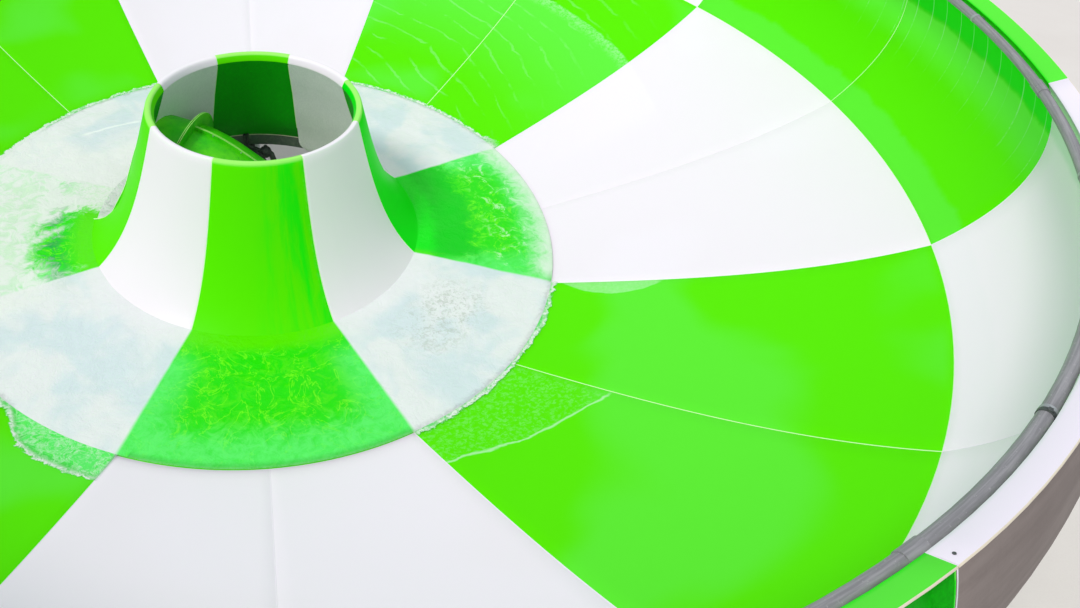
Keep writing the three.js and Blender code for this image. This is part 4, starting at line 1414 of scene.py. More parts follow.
def make_exit_tube():
    bm, rim = portal_length()
    piece("exit_portal_skin", bm, [inner_green, green_out, edge_cream], ["exit_portal"],
          thick=TUBE_WALL, back=1, rim=1)
    bm = bmesh.new()
    for first, last in ((0, 180), (180, 360)):
        outline = ring_outline(RING_INNER, RING_REACH, first, last, FIN_RISE)
        plate(bm, outline, FIN_PLATE, exit_place(FIN_AT - JOINT_GAP - FIN_PLATE / 2), edge=1)
    piece("exit_portal_ring", bm, [green_out, tube_edge], bevel=0.0015)
    for name, (start, end) in EXIT_LENGTHS.items():
        for word, side in (("left", 1), ("right", -1)):
            bm = bmesh.new()
            half_length(bm, side, start + JOINT_GAP, end - JOINT_GAP, twist_of(name))
            piece("exit_" + name + "_skin_" + word, bm, [inner_green, green_out, tube_edge],
                  ["exit_" + name + "_" + word], thick=TUBE_WALL, back=1, rim=2)
            bm = bmesh.new()
            half_rings(bm, side, start, end)
            piece("exit_" + name + "_rings_" + word, bm, [green_out, tube_edge], bevel=0.0015)
    make_exit_bolts()
    bm = bmesh.new()
    along_line(bm, rim, 0.007, 8, closed=True)
    piece("exit_portal_bead", bm, [bead], sharp=60)


def make_exit_bolts():
    bm = bmesh.new()
    for along in (start for start, end in EXIT_LENGTHS.values() if start != FIN_AT):
        for k in range(24):
            hole = shifted(turned(exit_place(along), 15 * (k + 0.5), "Z"), RING_BOLTS, 0, 0)
            for way in (1, -1):
                place = shifted(hole, 0, 0, way * (RING_PLATE + JOINT_GAP))
                bolt(bm, turned(place, 0 if way == 1 else 180, "X"))
    for name, (start, end) in EXIT_LENGTHS.items():
        for along in spaced(start + 0.12, end - 0.12, 0.19):
            for up in (1, -1):
                for way in (1, -1):
                    place = turned(exit_place(along), -twist_of(name), "Z")
                    place = shifted(place, way * (SEAM_GAP + TUBE_WALL), up * KEEL_BOLTS, 0)
                    bolt(bm, turned(place, way * 90, "Y"), 0.009)
    piece("exit_tube_bolts", bm, [bolt_steel])


# Saddles of the exit tube

SADDLES = {"inner": 3.95, "outer": 5.90}
SADDLE_DEEP = 0.070
SADDLE_WIDE = 1.500
SADDLE_BELOW = 0.150
SADDLE_BASE = 0.020


def saddle(bm, along):
    """A web with ribs under the tube, a band in it, a narrow flange all round, and a base plate."""
    middle = exit_place(along).translation
    up = Vector((0, 0, 1))
    flat = Matrix.Translation(middle) @ Matrix((exit_side, up, exit_side.cross(up))).transposed().to_4x4()
    floor = -middle.z
    foot = floor + SADDLE_BASE
    half = SADDLE_WIDE / 2
    reach = TUBE + TUBE_WALL + 0.002
    turn = degrees(asin(SADDLE_BELOW / reach))
    top = arc(reach + 0.006, 180 + turn, 360 - turn, 40)
    left, right = (-half, -SADDLE_BELOW), (half, -SADDLE_BELOW)
    plate(bm, [left] + top + [right, (half, foot), (-half, foot)], 0.014, flat)
    cradle = [shifted(flat, 0, 0, d) for d in (-SADDLE_DEEP / 2, SADDLE_DEEP / 2)]
    curved_band(bm, arc(reach + 0.004, 180 + turn, 360 - turn, 40), cradle)
    for x in (-half + 0.006, half - 0.006):
        bar(bm, (0.012, -SADDLE_BELOW - foot, SADDLE_DEEP), shifted(flat, x, (foot - SADDLE_BELOW) / 2, 0))
    for x in (-0.62, -0.36, 0.0, 0.36, 0.62):
        tall = -sqrt(reach * reach - x * x) - 0.012 - foot
        for deep in (-0.021, 0.021):
            bar(bm, (0.010, tall, 0.027), shifted(flat, x, foot + tall / 2, deep))
    for x in (-half + 0.05, half - 0.05):
        bar(bm, (0.088, 0.012, SADDLE_DEEP), shifted(flat, x, -SADDLE_BELOW - 0.006, 0))
    bar(bm, (1.600, SADDLE_BASE, 0.300), shifted(flat, 0, floor + SADDLE_BASE / 2, 0))
    for x in (-0.76, -0.30, 0.30, 0.76):
        for deep in (-0.11, 0.11):
            anchor(bm, turned(shifted(flat, x, foot, deep), -90, "X"))


def make_saddles():
    for name, along in SADDLES.items():
        bm = bmesh.new()
        saddle(bm, along)
        piece("saddle_" + name, bm, [steel], ["exit_saddle_" + name], bevel=0.0015)


# Ring pipes under the floor

# The facets of the solids' floor flanges, with the gap that touching pieces keep
flange_line = back_of(floor_line(5), FLANGE + 0.0003, FOOT_JOINT, KNEE_JOINT)
KNEE_PIPE = 0.084
FOOT_PIPE = 0.070


def pipe_middle(near, far, share, radius):
    """The middle of a ring pipe that lies under a facet of the flange line, at a share of its length."""
    seat = (near[0] + (far[0] - near[0]) * share, near[1] + (far[1] - near[1]) * share)
    size = hypot(far[0] - near[0], far[1] - near[1])
    outward = 1 if far[0] > near[0] else -1
    square = (outward * (far[1] - near[1]) / size, -outward * (far[0] - near[0]) / size)
    return moved(seat, square, radius + 0.0007)


knee_middle = pipe_middle(flange_line[-1], flange_line[-2], 0.22, KNEE_PIPE)
foot_middle = pipe_middle(flange_line[0], flange_line[1], 0.12, FOOT_PIPE)


def pipe_joint(bm, r, z, radius, angle):
    """A sleeve on a ring pipe, with a disc and its bolts at both ends. Its lengths are divided by r."""
    ring_arc(bm, r, z, radius + 0.006, angle - 5.0 / r, angle + 5.0 / r, 28, 1.0)
    for side in (-1, 1):
        spot = angle + side * 5.6 / r
        ring_arc(bm, r, z, radius + 0.028, spot - 0.35 / r, spot + 0.35 / r, 28, 1.0)
        face = turned(upright(r, z, spot + side * 0.36 / r), -side * 90, "X")
        for k in range(8):
            bolt(bm, shifted(turned(face, 45 * (k + 0.5), "Z"), radius + 0.017, 0, 0), 0.007)


def make_ring_pipes():
    for name, (r, z), radius in (("knee", knee_middle, KNEE_PIPE), ("foot", foot_middle, FOOT_PIPE)):
        bm = bmesh.new()
        ring_arc(bm, r, z, radius, 0, 360, 28, SWEEP_STEP, closed=True)
        for i in range(len(SECTORS)):
            pipe_joint(bm, r, z, radius, (i + 0.25) * SECTOR_TURN)
        bmesh.ops.recalc_face_normals(bm, faces=bm.faces[:])
        piece(name + "_ring", bm, [steel], [name + "_ring_pipe"])


# Support frames: columns and I-section girders

OUTER_R = 6.380
INNER_R = 3.260
OUTER_COLUMN = 0.110
INNER_COLUMN = 0.084
GIRDER = 0.110
GIRDER_DEEP = 0.300
GIRDER_WEB = 0.012
GIRDER_FLANGE = 0.014
STIFFENERS = (INNER_R + 0.10, 3.95, 4.55, 5.15, 5.75, OUTER_R - 0.10, OUTER_R + 0.10)
BASE = 0.025
CAP = 0.016


def column(bm, place, radius, top, base, rib_top):
    """A round column on its base plate, with the weld, and four ribs and anchors."""
    post(bm, place, BASE, top, radius, 40)
    bar(bm, (base, base, BASE), shifted(place, 0, 0, BASE / 2))
    post(bm, place, BASE, BASE + 0.010, radius + 0.010, 40, radius)
    edge = base / 2 - 0.020
    rib = [(radius - 0.004, BASE), (edge, BASE), (edge, BASE + 0.020), (radius + 0.012, rib_top),
           (radius - 0.004, rib_top)]
    for k in range(4):
        quarter = turned(place, 90 * k, "Z")
        plate(bm, rib, 0.010, turned(quarter, 90, "X"))
        anchor(bm, shifted(quarter, base / 2 - 0.055, base / 2 - 0.055, BASE))


def support_frame(bm, angle):
    """A girder under the floor's flanges, from the foot ring pipe to the knee's, and its two columns."""
    place = upright(0, 0, angle)
    nose = INNER_R - 0.180
    nose_top = foot_middle[1] - GIRDER_DEEP / 2
    nose_foot = foot_middle[1] - GIRDER_DEEP
    tail = knee_middle[0] + 0.160
    tail_top = flange_line[-1][1] - 0.060
    tail_foot = knee_middle[1] - 0.130
    bottom = [(nose, nose_foot), (INNER_R + GIRDER, nose_foot), (tail, tail_foot)]
    web = [(nose, nose_top)] + flange_line + [(tail, tail_top)] + bottom[::-1]
    plate(bm, web, GIRDER_WEB, turned(place, 90, "X"))
    # The top flange stops beside the ring pipes
    start = foot_middle[0] + 0.10
    top = [p for p in flange_line if start < p[0] < knee_middle[0] - 0.10]
    top = [between(flange_line, start)] + top + [between(flange_line, knee_middle[0] - 0.11)]
    strip(bm, top, GIRDER, GIRDER_FLANGE, place)
    strip(bm, bottom[::-1], GIRDER, GIRDER_FLANGE, place)
    for r, low, high in ((tail - 0.006, tail_foot, tail_top), (nose + 0.006, nose_foot, nose_top)):
        bar(bm, (0.012, GIRDER, high - low), shifted(place, r, 0, (low + high) / 2))
    for r in STIFFENERS:
        low, high = between(bottom, r)[1], between(flange_line, r)[1]
        for y in (-0.031, 0.031):
            bar(bm, (0.010, 0.048, high - low - 0.026), shifted(place, r, y, (low + high) / 2))
    for r, radius, high, base in ((OUTER_R, OUTER_COLUMN, between(bottom, OUTER_R)[1], 0.460),
                                  (INNER_R, INNER_COLUMN, nose_foot, 0.380)):
        column(bm, shifted(place, r, 0, 0), radius, high - CAP, base, 0.26)
        bar(bm, (2 * radius + 0.05, 2 * radius + 0.02, CAP), shifted(place, r, 0, high - CAP / 2))


def make_support_frames():
    for i, sector in enumerate(SECTORS):
        bm = bmesh.new()
        support_frame(bm, i * SECTOR_TURN)
        piece("frame_" + sector, bm, [steel], ["support_frame_" + sector], bevel=0.002)


# Ring beam inside the cone

BEAM_TOP = FOOT + 0.1897
BEAM_DEEP = 0.150
BEAM_LOW = BEAM_TOP - BEAM_DEEP
BEAM_INNER = 1.494
BEAM_OUTER = 1.574
BEAM_SOFT = 0.012
POST_R = 1.534
POST = 0.038
POST_TURNS = (22.5, 112.5, -67.5, -157.5)
SMALL_BASE = 0.020
# Half of the gap that the beam leaves for the exit tube, in degrees
PASSAGE_HALF = 28.6


def small_base(bm, place, radius):
    """The base plate of a thin post, with its weld and anchors."""
    bar(bm, (0.240, 0.240, SMALL_BASE), shifted(place, 0, 0, SMALL_BASE / 2))
    post(bm, place, SMALL_BASE, SMALL_BASE + 0.008, radius + 0.008, 28, radius)
    for x in (-0.085, 0.085):
        for y in (-0.085, 0.085):
            anchor(bm, shifted(place, x, y, SMALL_BASE), 0.011)


def beam_section():
    """The beam's section, with its corners rounded and its first point again at the end."""
    corners = (
        (BEAM_INNER, BEAM_LOW), (BEAM_OUTER, BEAM_LOW), (BEAM_OUTER, BEAM_TOP), (BEAM_INNER, BEAM_TOP),
    )
    section = []
    for i, (r, z) in enumerate(corners):
        middle_r = r + (BEAM_SOFT if r == BEAM_INNER else -BEAM_SOFT)
        middle_z = z + (BEAM_SOFT if z == BEAM_LOW else -BEAM_SOFT)
        for turn in (0, 30, 60, 90):
            angle = radians(180 + 90 * i + turn)
            section.append((middle_r + BEAM_SOFT * cos(angle), middle_z + BEAM_SOFT * sin(angle)))
    return section + section[:1]


def make_cone_frame():
    bm = swept(beam_section(), EXIT_TURN + 180 + PASSAGE_HALF, EXIT_TURN + 540 - PASSAGE_HALF)
    bmesh.ops.remove_doubles(bm, verts=bm.verts[:], dist=1e-5)
    bmesh.ops.holes_fill(bm, edges=[e for e in bm.edges if e.is_boundary], sides=0)
    bmesh.ops.recalc_face_normals(bm, faces=bm.faces[:])
    for angle in POST_TURNS:
        place = upright(POST_R, 0, angle)
        post(bm, place, SMALL_BASE, BEAM_LOW, POST, 28)
        post(bm, place, BEAM_LOW - 0.010, BEAM_LOW, POST, 28, POST + 0.012)
        small_base(bm, place, POST)
    # Lugs on both sides of each seam, but none over the exit tube
    for i in range(len(SECTORS)):
        seam = (i + 0.5) * SECTOR_TURN
        if abs((seam - EXIT_TURN) % 360 - 180) < PASSAGE_HALF:
            continue
        for beside in (-3.0, 3.0):
            place = upright(BEAM_INNER, BEAM_TOP, seam + beside)
            bar(bm, (0.006, 0.070, 0.130), shifted(place, -0.003, 0, -0.060))
            for z in (-0.035, -0.085):
                bolt(bm, turned(shifted(place, -0.006, 0, z), -90, "Y"), 0.009)
    piece("cone_beam", bm, [beam_steel], ["cone_ring_frame"])


FEED_X = 0.120
FEED_Y = 1.250
FEED = 0.045


def make_cone_feed():
    """The feed pipe inside the cone: a riser, an elbow, and a flange that hangs on the ring beam."""
    bm = bmesh.new()
    foot = Vector((FEED_X, FEED_Y, SMALL_BASE))
    elbow = Vector((FEED_X, FEED_Y, BEAM_LOW - 0.130))
    end = Vector((-0.060, 1.530, BEAM_LOW - 0.060))
    along_line(bm, bent([foot, elbow, end], 0.085), FEED, 28)
    small_base(bm, Matrix.Translation((FEED_X, FEED_Y, 0)), FEED)
    for z in (0.55, 1.60, 2.60):
        collar(bm, (FEED_X, FEED_Y, z), (FEED_X, FEED_Y, z + 0.10), FEED + 0.008, 28)
    way = (end - elbow).normalized()
    collar(bm, elbow + way * 0.10, elbow + way * 0.17, FEED + 0.010, 28)
    rod(bm, end - way * 0.012, end + way * 0.012, 0.062, 28)
    for k in range(6):
        bolt(bm, shifted(turned(facing(way, end + way * 0.012), 60 * k, "Z"), 0.052, 0, 0), 0.007)
    hanger = Matrix.Translation((end.x, end.y, BEAM_LOW))
    for x in (-0.020, 0.020):
        bar(bm, (0.006, 0.044, 0.138), shifted(hanger, x, 0, -0.069))
    bar(bm, (0.048, 0.048, 0.006), shifted(hanger, 0, 0, -0.004))
    piece("cone_feed", bm, [iron], ["cone_feed_pipe"], bevel=0.0015)


def beam_clamp(bm):
    """A back plate and two jaws round the ring beam, held by two long bolts."""
    clamp = upright(BEAM_INNER, BEAM_TOP, 94.3)
    bar(bm, (0.014, 0.075, 0.200), shifted(clamp, -0.009, 0, -0.085))
    for z in (0.008, -BEAM_DEEP - 0.010):
        bar(bm, (0.100, 0.075, 0.012), shifted(clamp, 0.030, 0, z))
    for y in (-0.022, 0.022):
        post(bm, shifted(clamp, -0.030, y, 0), 0.035, -0.205, 0.008, 12)
        for z in (0.030, -0.190):
            bolt(bm, shifted(clamp, -0.030, y, z), 0.014)


def pipe_stub(bm):
    """A round valve body on a pipe that ends below the beam."""
    stub = upright(BEAM_INNER - 0.02, FOOT - 0.06, 85)
    bmesh.ops.create_uvsphere(bm, u_segments=24, v_segments=14, radius=0.080, matrix=stub)
    post(bm, stub, -0.02, 0.10, 0.020, 16)
    rod(bm, stub @ Vector((-0.06, 0, 0)), stub @ Vector((0.02, 0, 0)), 0.026, 16)
    places = ((0.06, 0.05, 86), (0.08, 0.12, 82), (0.12, 0.30, 79))
    line = [at(POST_R - inwards, BEAM_LOW - down, angle) for inwards, down, angle in places]
    along_line(bm, line, 0.038, 20)
    collar(bm, line[2] - (line[2] - line[1]).normalized() * 0.04, line[2], 0.046)
    rod(bm, at(BEAM_INNER - 0.03, BEAM_LOW + 0.01, 93.5), at(BEAM_INNER - 0.02, FOOT - 0.05, 86), 0.022, 16)


def beam_block(bm):
    """A small block on the beam, with a peg and two bolts."""
    block = upright(BEAM_INNER + 0.02, BEAM_TOP + 0.035, 57)
    bar(bm, (0.090, 0.110, 0.060), block)
    post(bm, shifted(block, -0.02, 0, 0), 0.02, 0.07, 0.022, 20)
    for y in (0.03, -0.03):
        bolt(bm, turned(shifted(block, -0.045, y, 0), -90, "Y"), 0.012)


def make_beam_fittings():
    """The dark fittings on the ring beam, and the cut lower edges of the standing inner skins on it."""
    bm = bmesh.new()
    beam_clamp(bm)
    pipe_stub(bm)
    beam_block(bm)
    piece("beam_clamps", bm, [iron], bevel=0.002)
    bm = bmesh.new()
    for middle in (0, 90, 270):
        ring_arc(bm, BEAM_INNER - 0.001, BEAM_TOP + 0.006, 0.006, middle - 22.2, middle + 22.2, 8)
    bmesh.ops.recalc_face_normals(bm, faces=bm.faces[:])
    piece("skin_foot_edges", bm, [edge_cream])


# Entry flume and the column under it

FLUME_START = 1.500
FLUME_END = 7.0174
FLUME_SKIN_END = FLUME_END - 0.002
FLUME_SHEET = 0.010
FLUME_COLLAR = 0.068
COLLAR_PLATE = 0.012


def flume_outline(grown=0.0, steps=10):
    """The channel's section, from the top of its left side round to the top of its right side."""
    half = FLUME_WIDE / 2
    middle = FLUME_BOTTOM + FLUME_BEND
    reach = FLUME_BEND + grown
    left = [(x - half + FLUME_BEND, z + middle) for x, z in arc(reach, 180, 270, steps)]
    right = [(x + half - FLUME_BEND, z + middle) for x, z in arc(reach, 270, 360, steps)]
    return [(-half - grown, FLUME_TOP)] + left + right + [(half + grown, FLUME_TOP)]


def flume_section(y):
    """A place whose XY plane is the flume's section: X across it and Y up."""
    return turned(Matrix.Translation((FLUME_X, y, 0)), 90, "X")


def wall_reach(x, z):
    """How far along the flume the bowl's wall lies, at a place across it and a height."""
    return sqrt(radius_at(wall_front, z) ** 2 - x * x)


def make_flume_skin():
    """The channel, whose end at the bowl follows the wall."""
    bm = bmesh.new()
    drawn(bm, flume_outline(), [flume_section(y) for y in spaced(FLUME_START, FLUME_SKIN_END, 0.25)])
    lines = {}
    for v in bm.verts:
        lines.setdefault((round(v.co.x, 4), round(v.co.z, 4)), []).append(v)
    for same in lines.values():
        same.sort(key=lambda v: v.co.y)
        first = wall_reach(same[0].co.x, same[0].co.z)
        for v, y in zip(same, spaced(first, FLUME_SKIN_END, (FLUME_SKIN_END - first) / (len(same) - 1))):
            v.co.y = y
    turn_face(bm, Vector((FLUME_X, 4.5, FLUME_BOTTOM)), Vector((0, 0, 1)))
    piece("flume_skin", bm, [green, green_out, edge_cream], ["entry_flume"],
          thick=FLUME_SHEET, back=1, rim=2, bevel=0.002)


def make_flume_collar():
    """The flange at the flume's outer end, the strips along its top, and the flange's bolts."""
    bm = bmesh.new()
    plate(bm, flume_outline(FLUME_COLLAR) + flume_outline(0.009)[::-1], COLLAR_PLATE,
          flume_section(FLUME_END - COLLAR_PLATE / 2))
    for side in (-1, 1):
        edge = FLUME_X + side * (FLUME_WIDE / 2 + 0.033)
        start = wall_reach(edge, FLUME_TOP) + 0.02
        middle = Matrix.Translation((edge, (start + FLUME_END) / 2, FLUME_TOP - 0.006))
        bar(bm, (0.052, FLUME_END - start, 0.010), middle)
    piece("flume_collar", bm, [green_out], bevel=0.0015)
    bm = bmesh.new()
    ring = flume_outline(0.045, 6)
    for (x, z), (u, w) in zip(ring, ring[1:]):
        count = max(1, round(hypot(u - x, w - z) / 0.14))
        for k in range(count):
            share = (k + 0.5) / count
            place = flume_section(FLUME_END - COLLAR_PLATE)
            bolt(bm, shifted(place, x + (u - x) * share, z + (w - z) * share, 0), 0.011)
    piece("flume_bolts", bm, [bolt_steel])


CRADLE_HALF = 0.610


def make_flume_support():
    """A column with a cradle: two shaped plates, a band under the channel, a base and four ribs."""
    bm = bmesh.new()
    y = FLUME_END - 0.420
    top = FLUME_BOTTOM - 0.072
    foot = Matrix.Translation((FLUME_X, y, 0))
    column(bm, foot, INNER_COLUMN, top - 0.012, 0.460, 0.24)
    bar(bm, (0.320, 0.155, 0.012), shifted(foot, 0, 0, top - 0.006))
    outer = [p for p in flume_outline(0.0205, 14) if abs(p[0]) < CRADLE_HALF + 0.005]
    base = [(CRADLE_HALF, top + 0.002), (-CRADLE_HALF, top + 0.002)]
    for deep in (-0.070, 0.070):
        plate(bm, outer + base, 0.010, flume_section(y + deep))
    bar(bm, (2 * CRADLE_HALF, 0.155, 0.010), shifted(foot, 0, 0, top + 0.005))
    for x in (-0.5, -0.25, 0.25, 0.5):
        high = next(z for (a, b), (c, z) in zip(outer, outer[1:]) if a <= x <= c)
        bar(bm, (0.010, 0.135, high - top - 0.02), shifted(foot, x, 0, (high + top) / 2))
    inner = [p for p in flume_outline(0.0125, 14) if abs(p[0]) < CRADLE_HALF + 0.005]
    curved_band(bm, inner, [flume_section(y + d) for d in (-0.078, 0.078)])
    piece("flume_cradle", bm, [steel], ["entry_flume_support"], bevel=0.002)


# Spray pipe on the inside of the rim, and the pipe that feeds it

SPRAY_R = 6.720
SPRAY = 0.038
SPRAY_START = -191.5
SPRAY_END = 143.5
SPRAY_RUNS = {
    "south_west": (SPRAY_START, -112.5), "south_east": (-112.5, -22.5),
    "north_east": (-22.5, 67.5), "north_west": (67.5, SPRAY_END),
}
SLEEVES = (-157, -135, -90, -67.5, -45, 0, 22.5, 45, 90, 112.5)
FIRST_CLAMP = -191.25
CLAMP_STEP = 22.5


def spray_arc(bm, grown, start, end, sides, step):
    """Part of the spray pipe, or of a sleeve on it that is thicker."""
    ring_arc(bm, SPRAY_R, SPRAY_Z, SPRAY + grown, start, end, sides, step)


def nozzles(bm, start, end):
    """Stubs that point down at the wall, at even steps round the whole ring."""
    first = NOZZLE_AT + NOZZLE_STEP * ceil((start + 0.9 - NOZZLE_AT) / NOZZLE_STEP)
    for k in range(int((end - 0.9 - first) / NOZZLE_STEP) + 1):
        place = turned(upright(SPRAY_R, SPRAY_Z, first + k * NOZZLE_STEP), 140, "Y")
        post(bm, place, SPRAY - 0.003, SPRAY + 0.011, 0.0055, 8)


def make_spray_pipes():
    for name, (start, end) in SPRAY_RUNS.items():
        bm = bmesh.new()
        spray_arc(bm, 0.0, start + (0.01 if start > SPRAY_START else 0.0), end - 0.01, 28, 1.5)
        # Caps at the two free ends, sleeves on the way, and sockets where two lengths meet
        if start == SPRAY_START:
            spray_arc(bm, 0.006, start, start + 0.7, 28, 0.7)
        if end == SPRAY_END:
            spray_arc(bm, 0.006, end - 0.7, end, 28, 0.7)
        for angle in (a for a in SLEEVES if start < a < end):
            spray_arc(bm, 0.0055, angle - 0.62, angle + 0.62, 28, 0.62)
        spray_arc(bm, 0.007, end - 0.75, end - 0.01, 28, 0.74)
        if start > SPRAY_START:
            spray_arc(bm, 0.007, start + 0.01, start + 0.75, 28, 0.74)
        nozzles(bm, start, end)
        bmesh.ops.recalc_face_normals(bm, faces=bm.faces[:])
        piece("spray_run_" + name, bm, [pipe_skin], ["spray_pipe_" + name])


def strap(bm, angle, wide=0.030):
    """A strap round the spray pipe, its arm to the wall and the foot of the arm."""
    half = degrees(wide / 2 / SPRAY_R)
    spray_arc(bm, 0.0035, angle - half, angle + half, 24, half)
    place = upright(SPRAY_R, SPRAY_Z, angle)
    reach = radius_at(wall_front, SPRAY_Z - 0.01) - SPRAY_R + 0.004
    bar(bm, (reach - 0.02, wide, 0.006), shifted(place, 0.02 + reach / 2, 0, -0.006))
    bar(bm, (0.006, wide + 0.020, 0.070), turned(shifted(place, reach - 0.006, 0, -0.015), -24, "Y"))


def make_straps():
    bm = bmesh.new()
    for k in range(ceil((SPRAY_END - FIRST_CLAMP) / CLAMP_STEP)):
        strap(bm, FIRST_CLAMP + k * CLAMP_STEP)
    bmesh.ops.recalc_face_normals(bm, faces=bm.faces[:])
    piece("spray_straps", bm, [steel])


def make_pipe_tie():
    """A tie with its buckle on the pipe, and a small plug in the wall."""
    bm = bmesh.new()
    half = 0.13
    spray_arc(bm, 0.0045, -56.5 - half, -56.5 + half, 24, half)
    tie = upright(SPRAY_R, SPRAY_Z + SPRAY + 0.006, -56.5)
    bar(bm, (0.020, 0.026, 0.014), tie)
    rod(bm, tie @ Vector((-0.012, 0, 0)), tie @ Vector((0.022, 0, 0)), 0.004, 10)
    post(bm, turned(upright(6.822, 6.187, -67.0), -32, "Y"), -0.004, 0.004, 0.008, 16)
    bmesh.ops.recalc_face_normals(bm, faces=bm.faces[:])
    piece("pipe_tie", bm, [iron])


RISER_R = 7.320
RISER_TOP = FOOT + 3.400
RISER = 0.036
RISER_ANGLE = 45


def make_riser():
    """The pipe that stands beside the bowl, bends over the rim and ends on the spray pipe."""
    bm = bmesh.new()
    place = upright(0, 0, RISER_ANGLE)
    pipe = shifted(place, RISER_R, 0, 0)
    inner = SPRAY_R - 0.028
    spray_top = SPRAY_Z + SPRAY
    points = [(RISER_R, SMALL_BASE), (RISER_R, RISER_TOP), (inner, RISER_TOP), (inner, spray_top - 0.004)]
    along_line(bm, bent([place @ Vector((r, 0, z)) for r, z in points], 0.135), RISER, 28)
    small_base(bm, pipe, RISER)
    for r, low, high in ((RISER_R, 1.2, 1.29), (RISER_R, 3.2, 3.29), (RISER_R, 5.2, 5.29),
                         (inner, spray_top, spray_top + 0.05)):
        collar(bm, place @ Vector((r, 0, low)), place @ Vector((r, 0, high)), RISER + 0.007, 28)
    for z in (1.31, 3.31, 5.31):
        post(bm, pipe, z, z + 0.012, 0.062, 28)
    for z in (4.75, 5.75):
        wall = radius_at(outer_skin, z)
        bar(bm, (RISER_R - wall - RISER, 0.040, 0.006), shifted(place, (RISER_R - RISER + wall) / 2, 0, z))
        bar(bm, (0.006, 0.090, 0.090), shifted(place, wall + 0.004, 0, z))
        post(bm, pipe, z - 0.02, z + 0.02, RISER + 0.004, 24)
    piece("riser", bm, [pipe_skin], ["feed_riser"], bevel=0.001)


# Bolts of the panels' flanges, seen from outside and from below

FLANGE_BOLT = 0.009
RING_BOLT_STEP = 2.0


def seam_bolts(bm, front, depth, angle, first, last, step):
    """Bolts along a seam's flanges, from both sides, at a depth behind the front."""
    line = back_of(front, depth)
    lengths = [0.0]
    for a, b in zip(line, line[1:]):
        lengths.append(lengths[-1] + hypot(b[0] - a[0], b[1] - a[1]))
    where = first
    while where < lengths[-1] - last:
        i = max(k for k, length in enumerate(lengths) if length <= where)
        share = (where - lengths[i]) / (lengths[i + 1] - lengths[i])
        r = line[i][0] + (line[i + 1][0] - line[i][0]) * share
        z = line[i][1] + (line[i + 1][1] - line[i][1]) * share
        for side in (-1, 1):
            place = shifted(upright(0, 0, angle), r, side * (SEAM_GAP + SKIN), z)
            bolt(bm, turned(place, -side * 90, "X"), FLANGE_BOLT)
        where += step


def make_flange_bolts():
    bm = bmesh.new()
    for i in range(2 * len(SECTORS)):
        angle = (i - 1) * SECTOR_TURN / 2
        seam_bolts(bm, floor_front, 0.052, angle, 0.12, 0.10, 0.22)
        if at_flume(angle):
            continue
        # The middle seams of the boxed white panels hide their bolts
        if i % 4 != 3:
            seam_bolts(bm, wall_front, 0.040, angle, 0.12, 0.12, 0.22)
        if i % 2 == 0:
            seam_bolts(bm, cone_front[18:], 0.045, angle, 0.10, 0.08, 0.20)
    for k in range(round(360 / RING_BOLT_STEP)):
        for point, joint, depth in ((cone_front[-1], FOOT_JOINT, 0.055), (wall_front[0], KNEE_JOINT, 0.050)):
            square = (-joint[1], joint[0])
            spot = moved(moved(point, joint, depth), square, -SKIN - 0.001)
            place = upright(*spot, (k + 0.5) * RING_BOLT_STEP)
            bolt(bm, place @ facing((-square[0], 0, -square[1])), FLANGE_BOLT)
    piece("panel_bolts", bm, [bolt_steel])


# Camera and stage

# The photograph's camera: its place, and the directions of its right side and its top
CAMERA_AT = (-0.072, -7.861, 9.317)
CAMERA_RIGHT = (0.9894, -0.1341, 0.0553)
CAMERA_UP = (0.0363, 0.5978, 0.8008)
PHOTO_WIDE = 1080
# How far right of the camera's axis and above it the picture's middle lies, in the photograph's pixels
MIDDLE_RIGHT = 165
MIDDLE_UP = -115


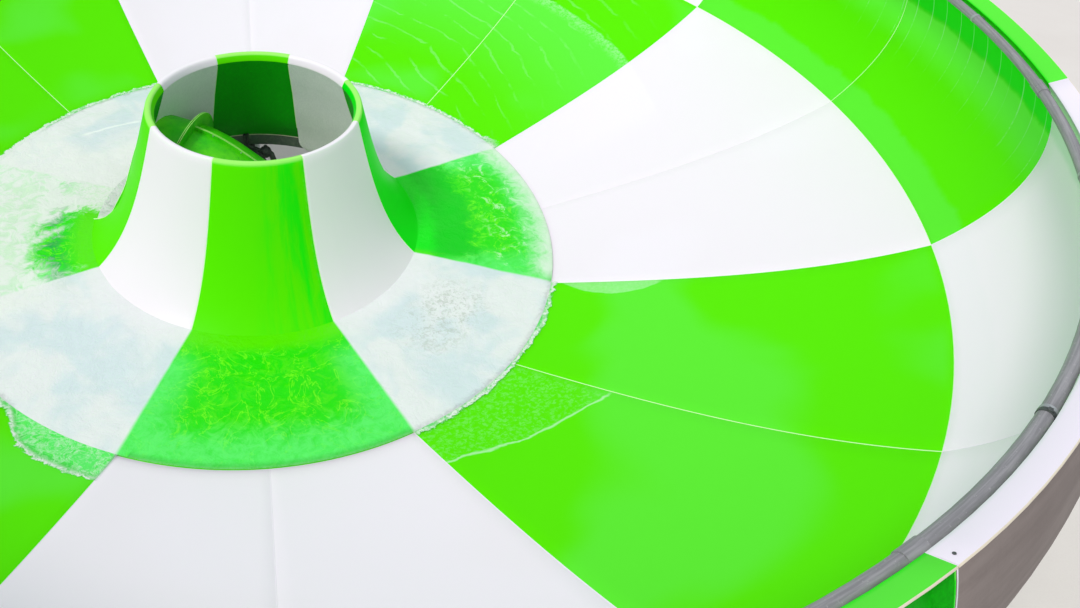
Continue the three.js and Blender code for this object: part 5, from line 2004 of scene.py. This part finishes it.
def make_camera():
    """Above the rim at the south side, its axis left of and above the picture's middle."""
    data = bpy.data.cameras.new("camera")
    camera = bpy.data.objects.new("camera", data)
    scene.collection.objects.link(camera)
    data.sensor_width = 36.0
    data.lens = 29.10
    data.shift_x = MIDDLE_RIGHT / PHOTO_WIDE
    data.shift_y = MIDDLE_UP / PHOTO_WIDE
    right = Vector(CAMERA_RIGHT)
    back = right.cross(Vector(CAMERA_UP)).normalized()
    up = back.cross(right.normalized())
    rotation = Matrix((right.normalized(), up, back)).transposed().to_4x4()
    camera.matrix_world = Matrix.Translation(CAMERA_AT) @ rotation
    scene.camera = camera


GROUND_HALF = 60
SUN_ANGLE = 212
SUN_HEIGHT = radians(52)


def make_ground():
    bm = bmesh.new()
    bmesh.ops.create_grid(bm, x_segments=2, y_segments=2, size=GROUND_HALF)
    mesh = bpy.data.meshes.new("ground")
    bm.to_mesh(mesh)
    bm.free()
    mesh.materials.append(concrete)
    ground = bpy.data.objects.new("ground", mesh)
    scene.collection.objects.link(ground)


def make_light():
    world = bpy.data.worlds.new("soft_sky")
    world.use_nodes = True
    sky = world.node_tree.nodes["Background"].inputs
    sky["Color"].default_value = rgba(0.86, 0.93, 1.0)
    sky["Strength"].default_value = 0.72
    scene.world = world
    sun = bpy.data.lights.new("sun", "SUN")
    sun.energy = 1.9
    sun.angle = radians(14)
    sun.color = (1.0, 0.97, 0.92)
    lamp = bpy.data.objects.new("sun", sun)
    scene.collection.objects.link(lamp)
    toward = out_from(SUN_ANGLE) * cos(SUN_HEIGHT) + Vector((0, 0, sin(SUN_HEIGHT)))
    lamp.rotation_euler = toward.to_track_quat("Z", "Y").to_euler()
    scene.view_settings.view_transform = "Standard"


# All the pieces, from the bowl outwards
make_panels()
make_beads()
make_water()
make_race()
make_exit_tube()
make_saddles()
make_ring_pipes()
make_support_frames()
make_cone_frame()
make_cone_feed()
make_beam_fittings()
make_flume_skin()
make_flume_collar()
make_flume_support()
make_spray_pipes()
make_straps()
make_pipe_tie()
make_riser()
make_flange_bolts()

make_camera()
make_ground()
make_light()

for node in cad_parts.values():
    if not node.hide_render:
        node.data.materials.clear()
        node.data.materials.append(steel)
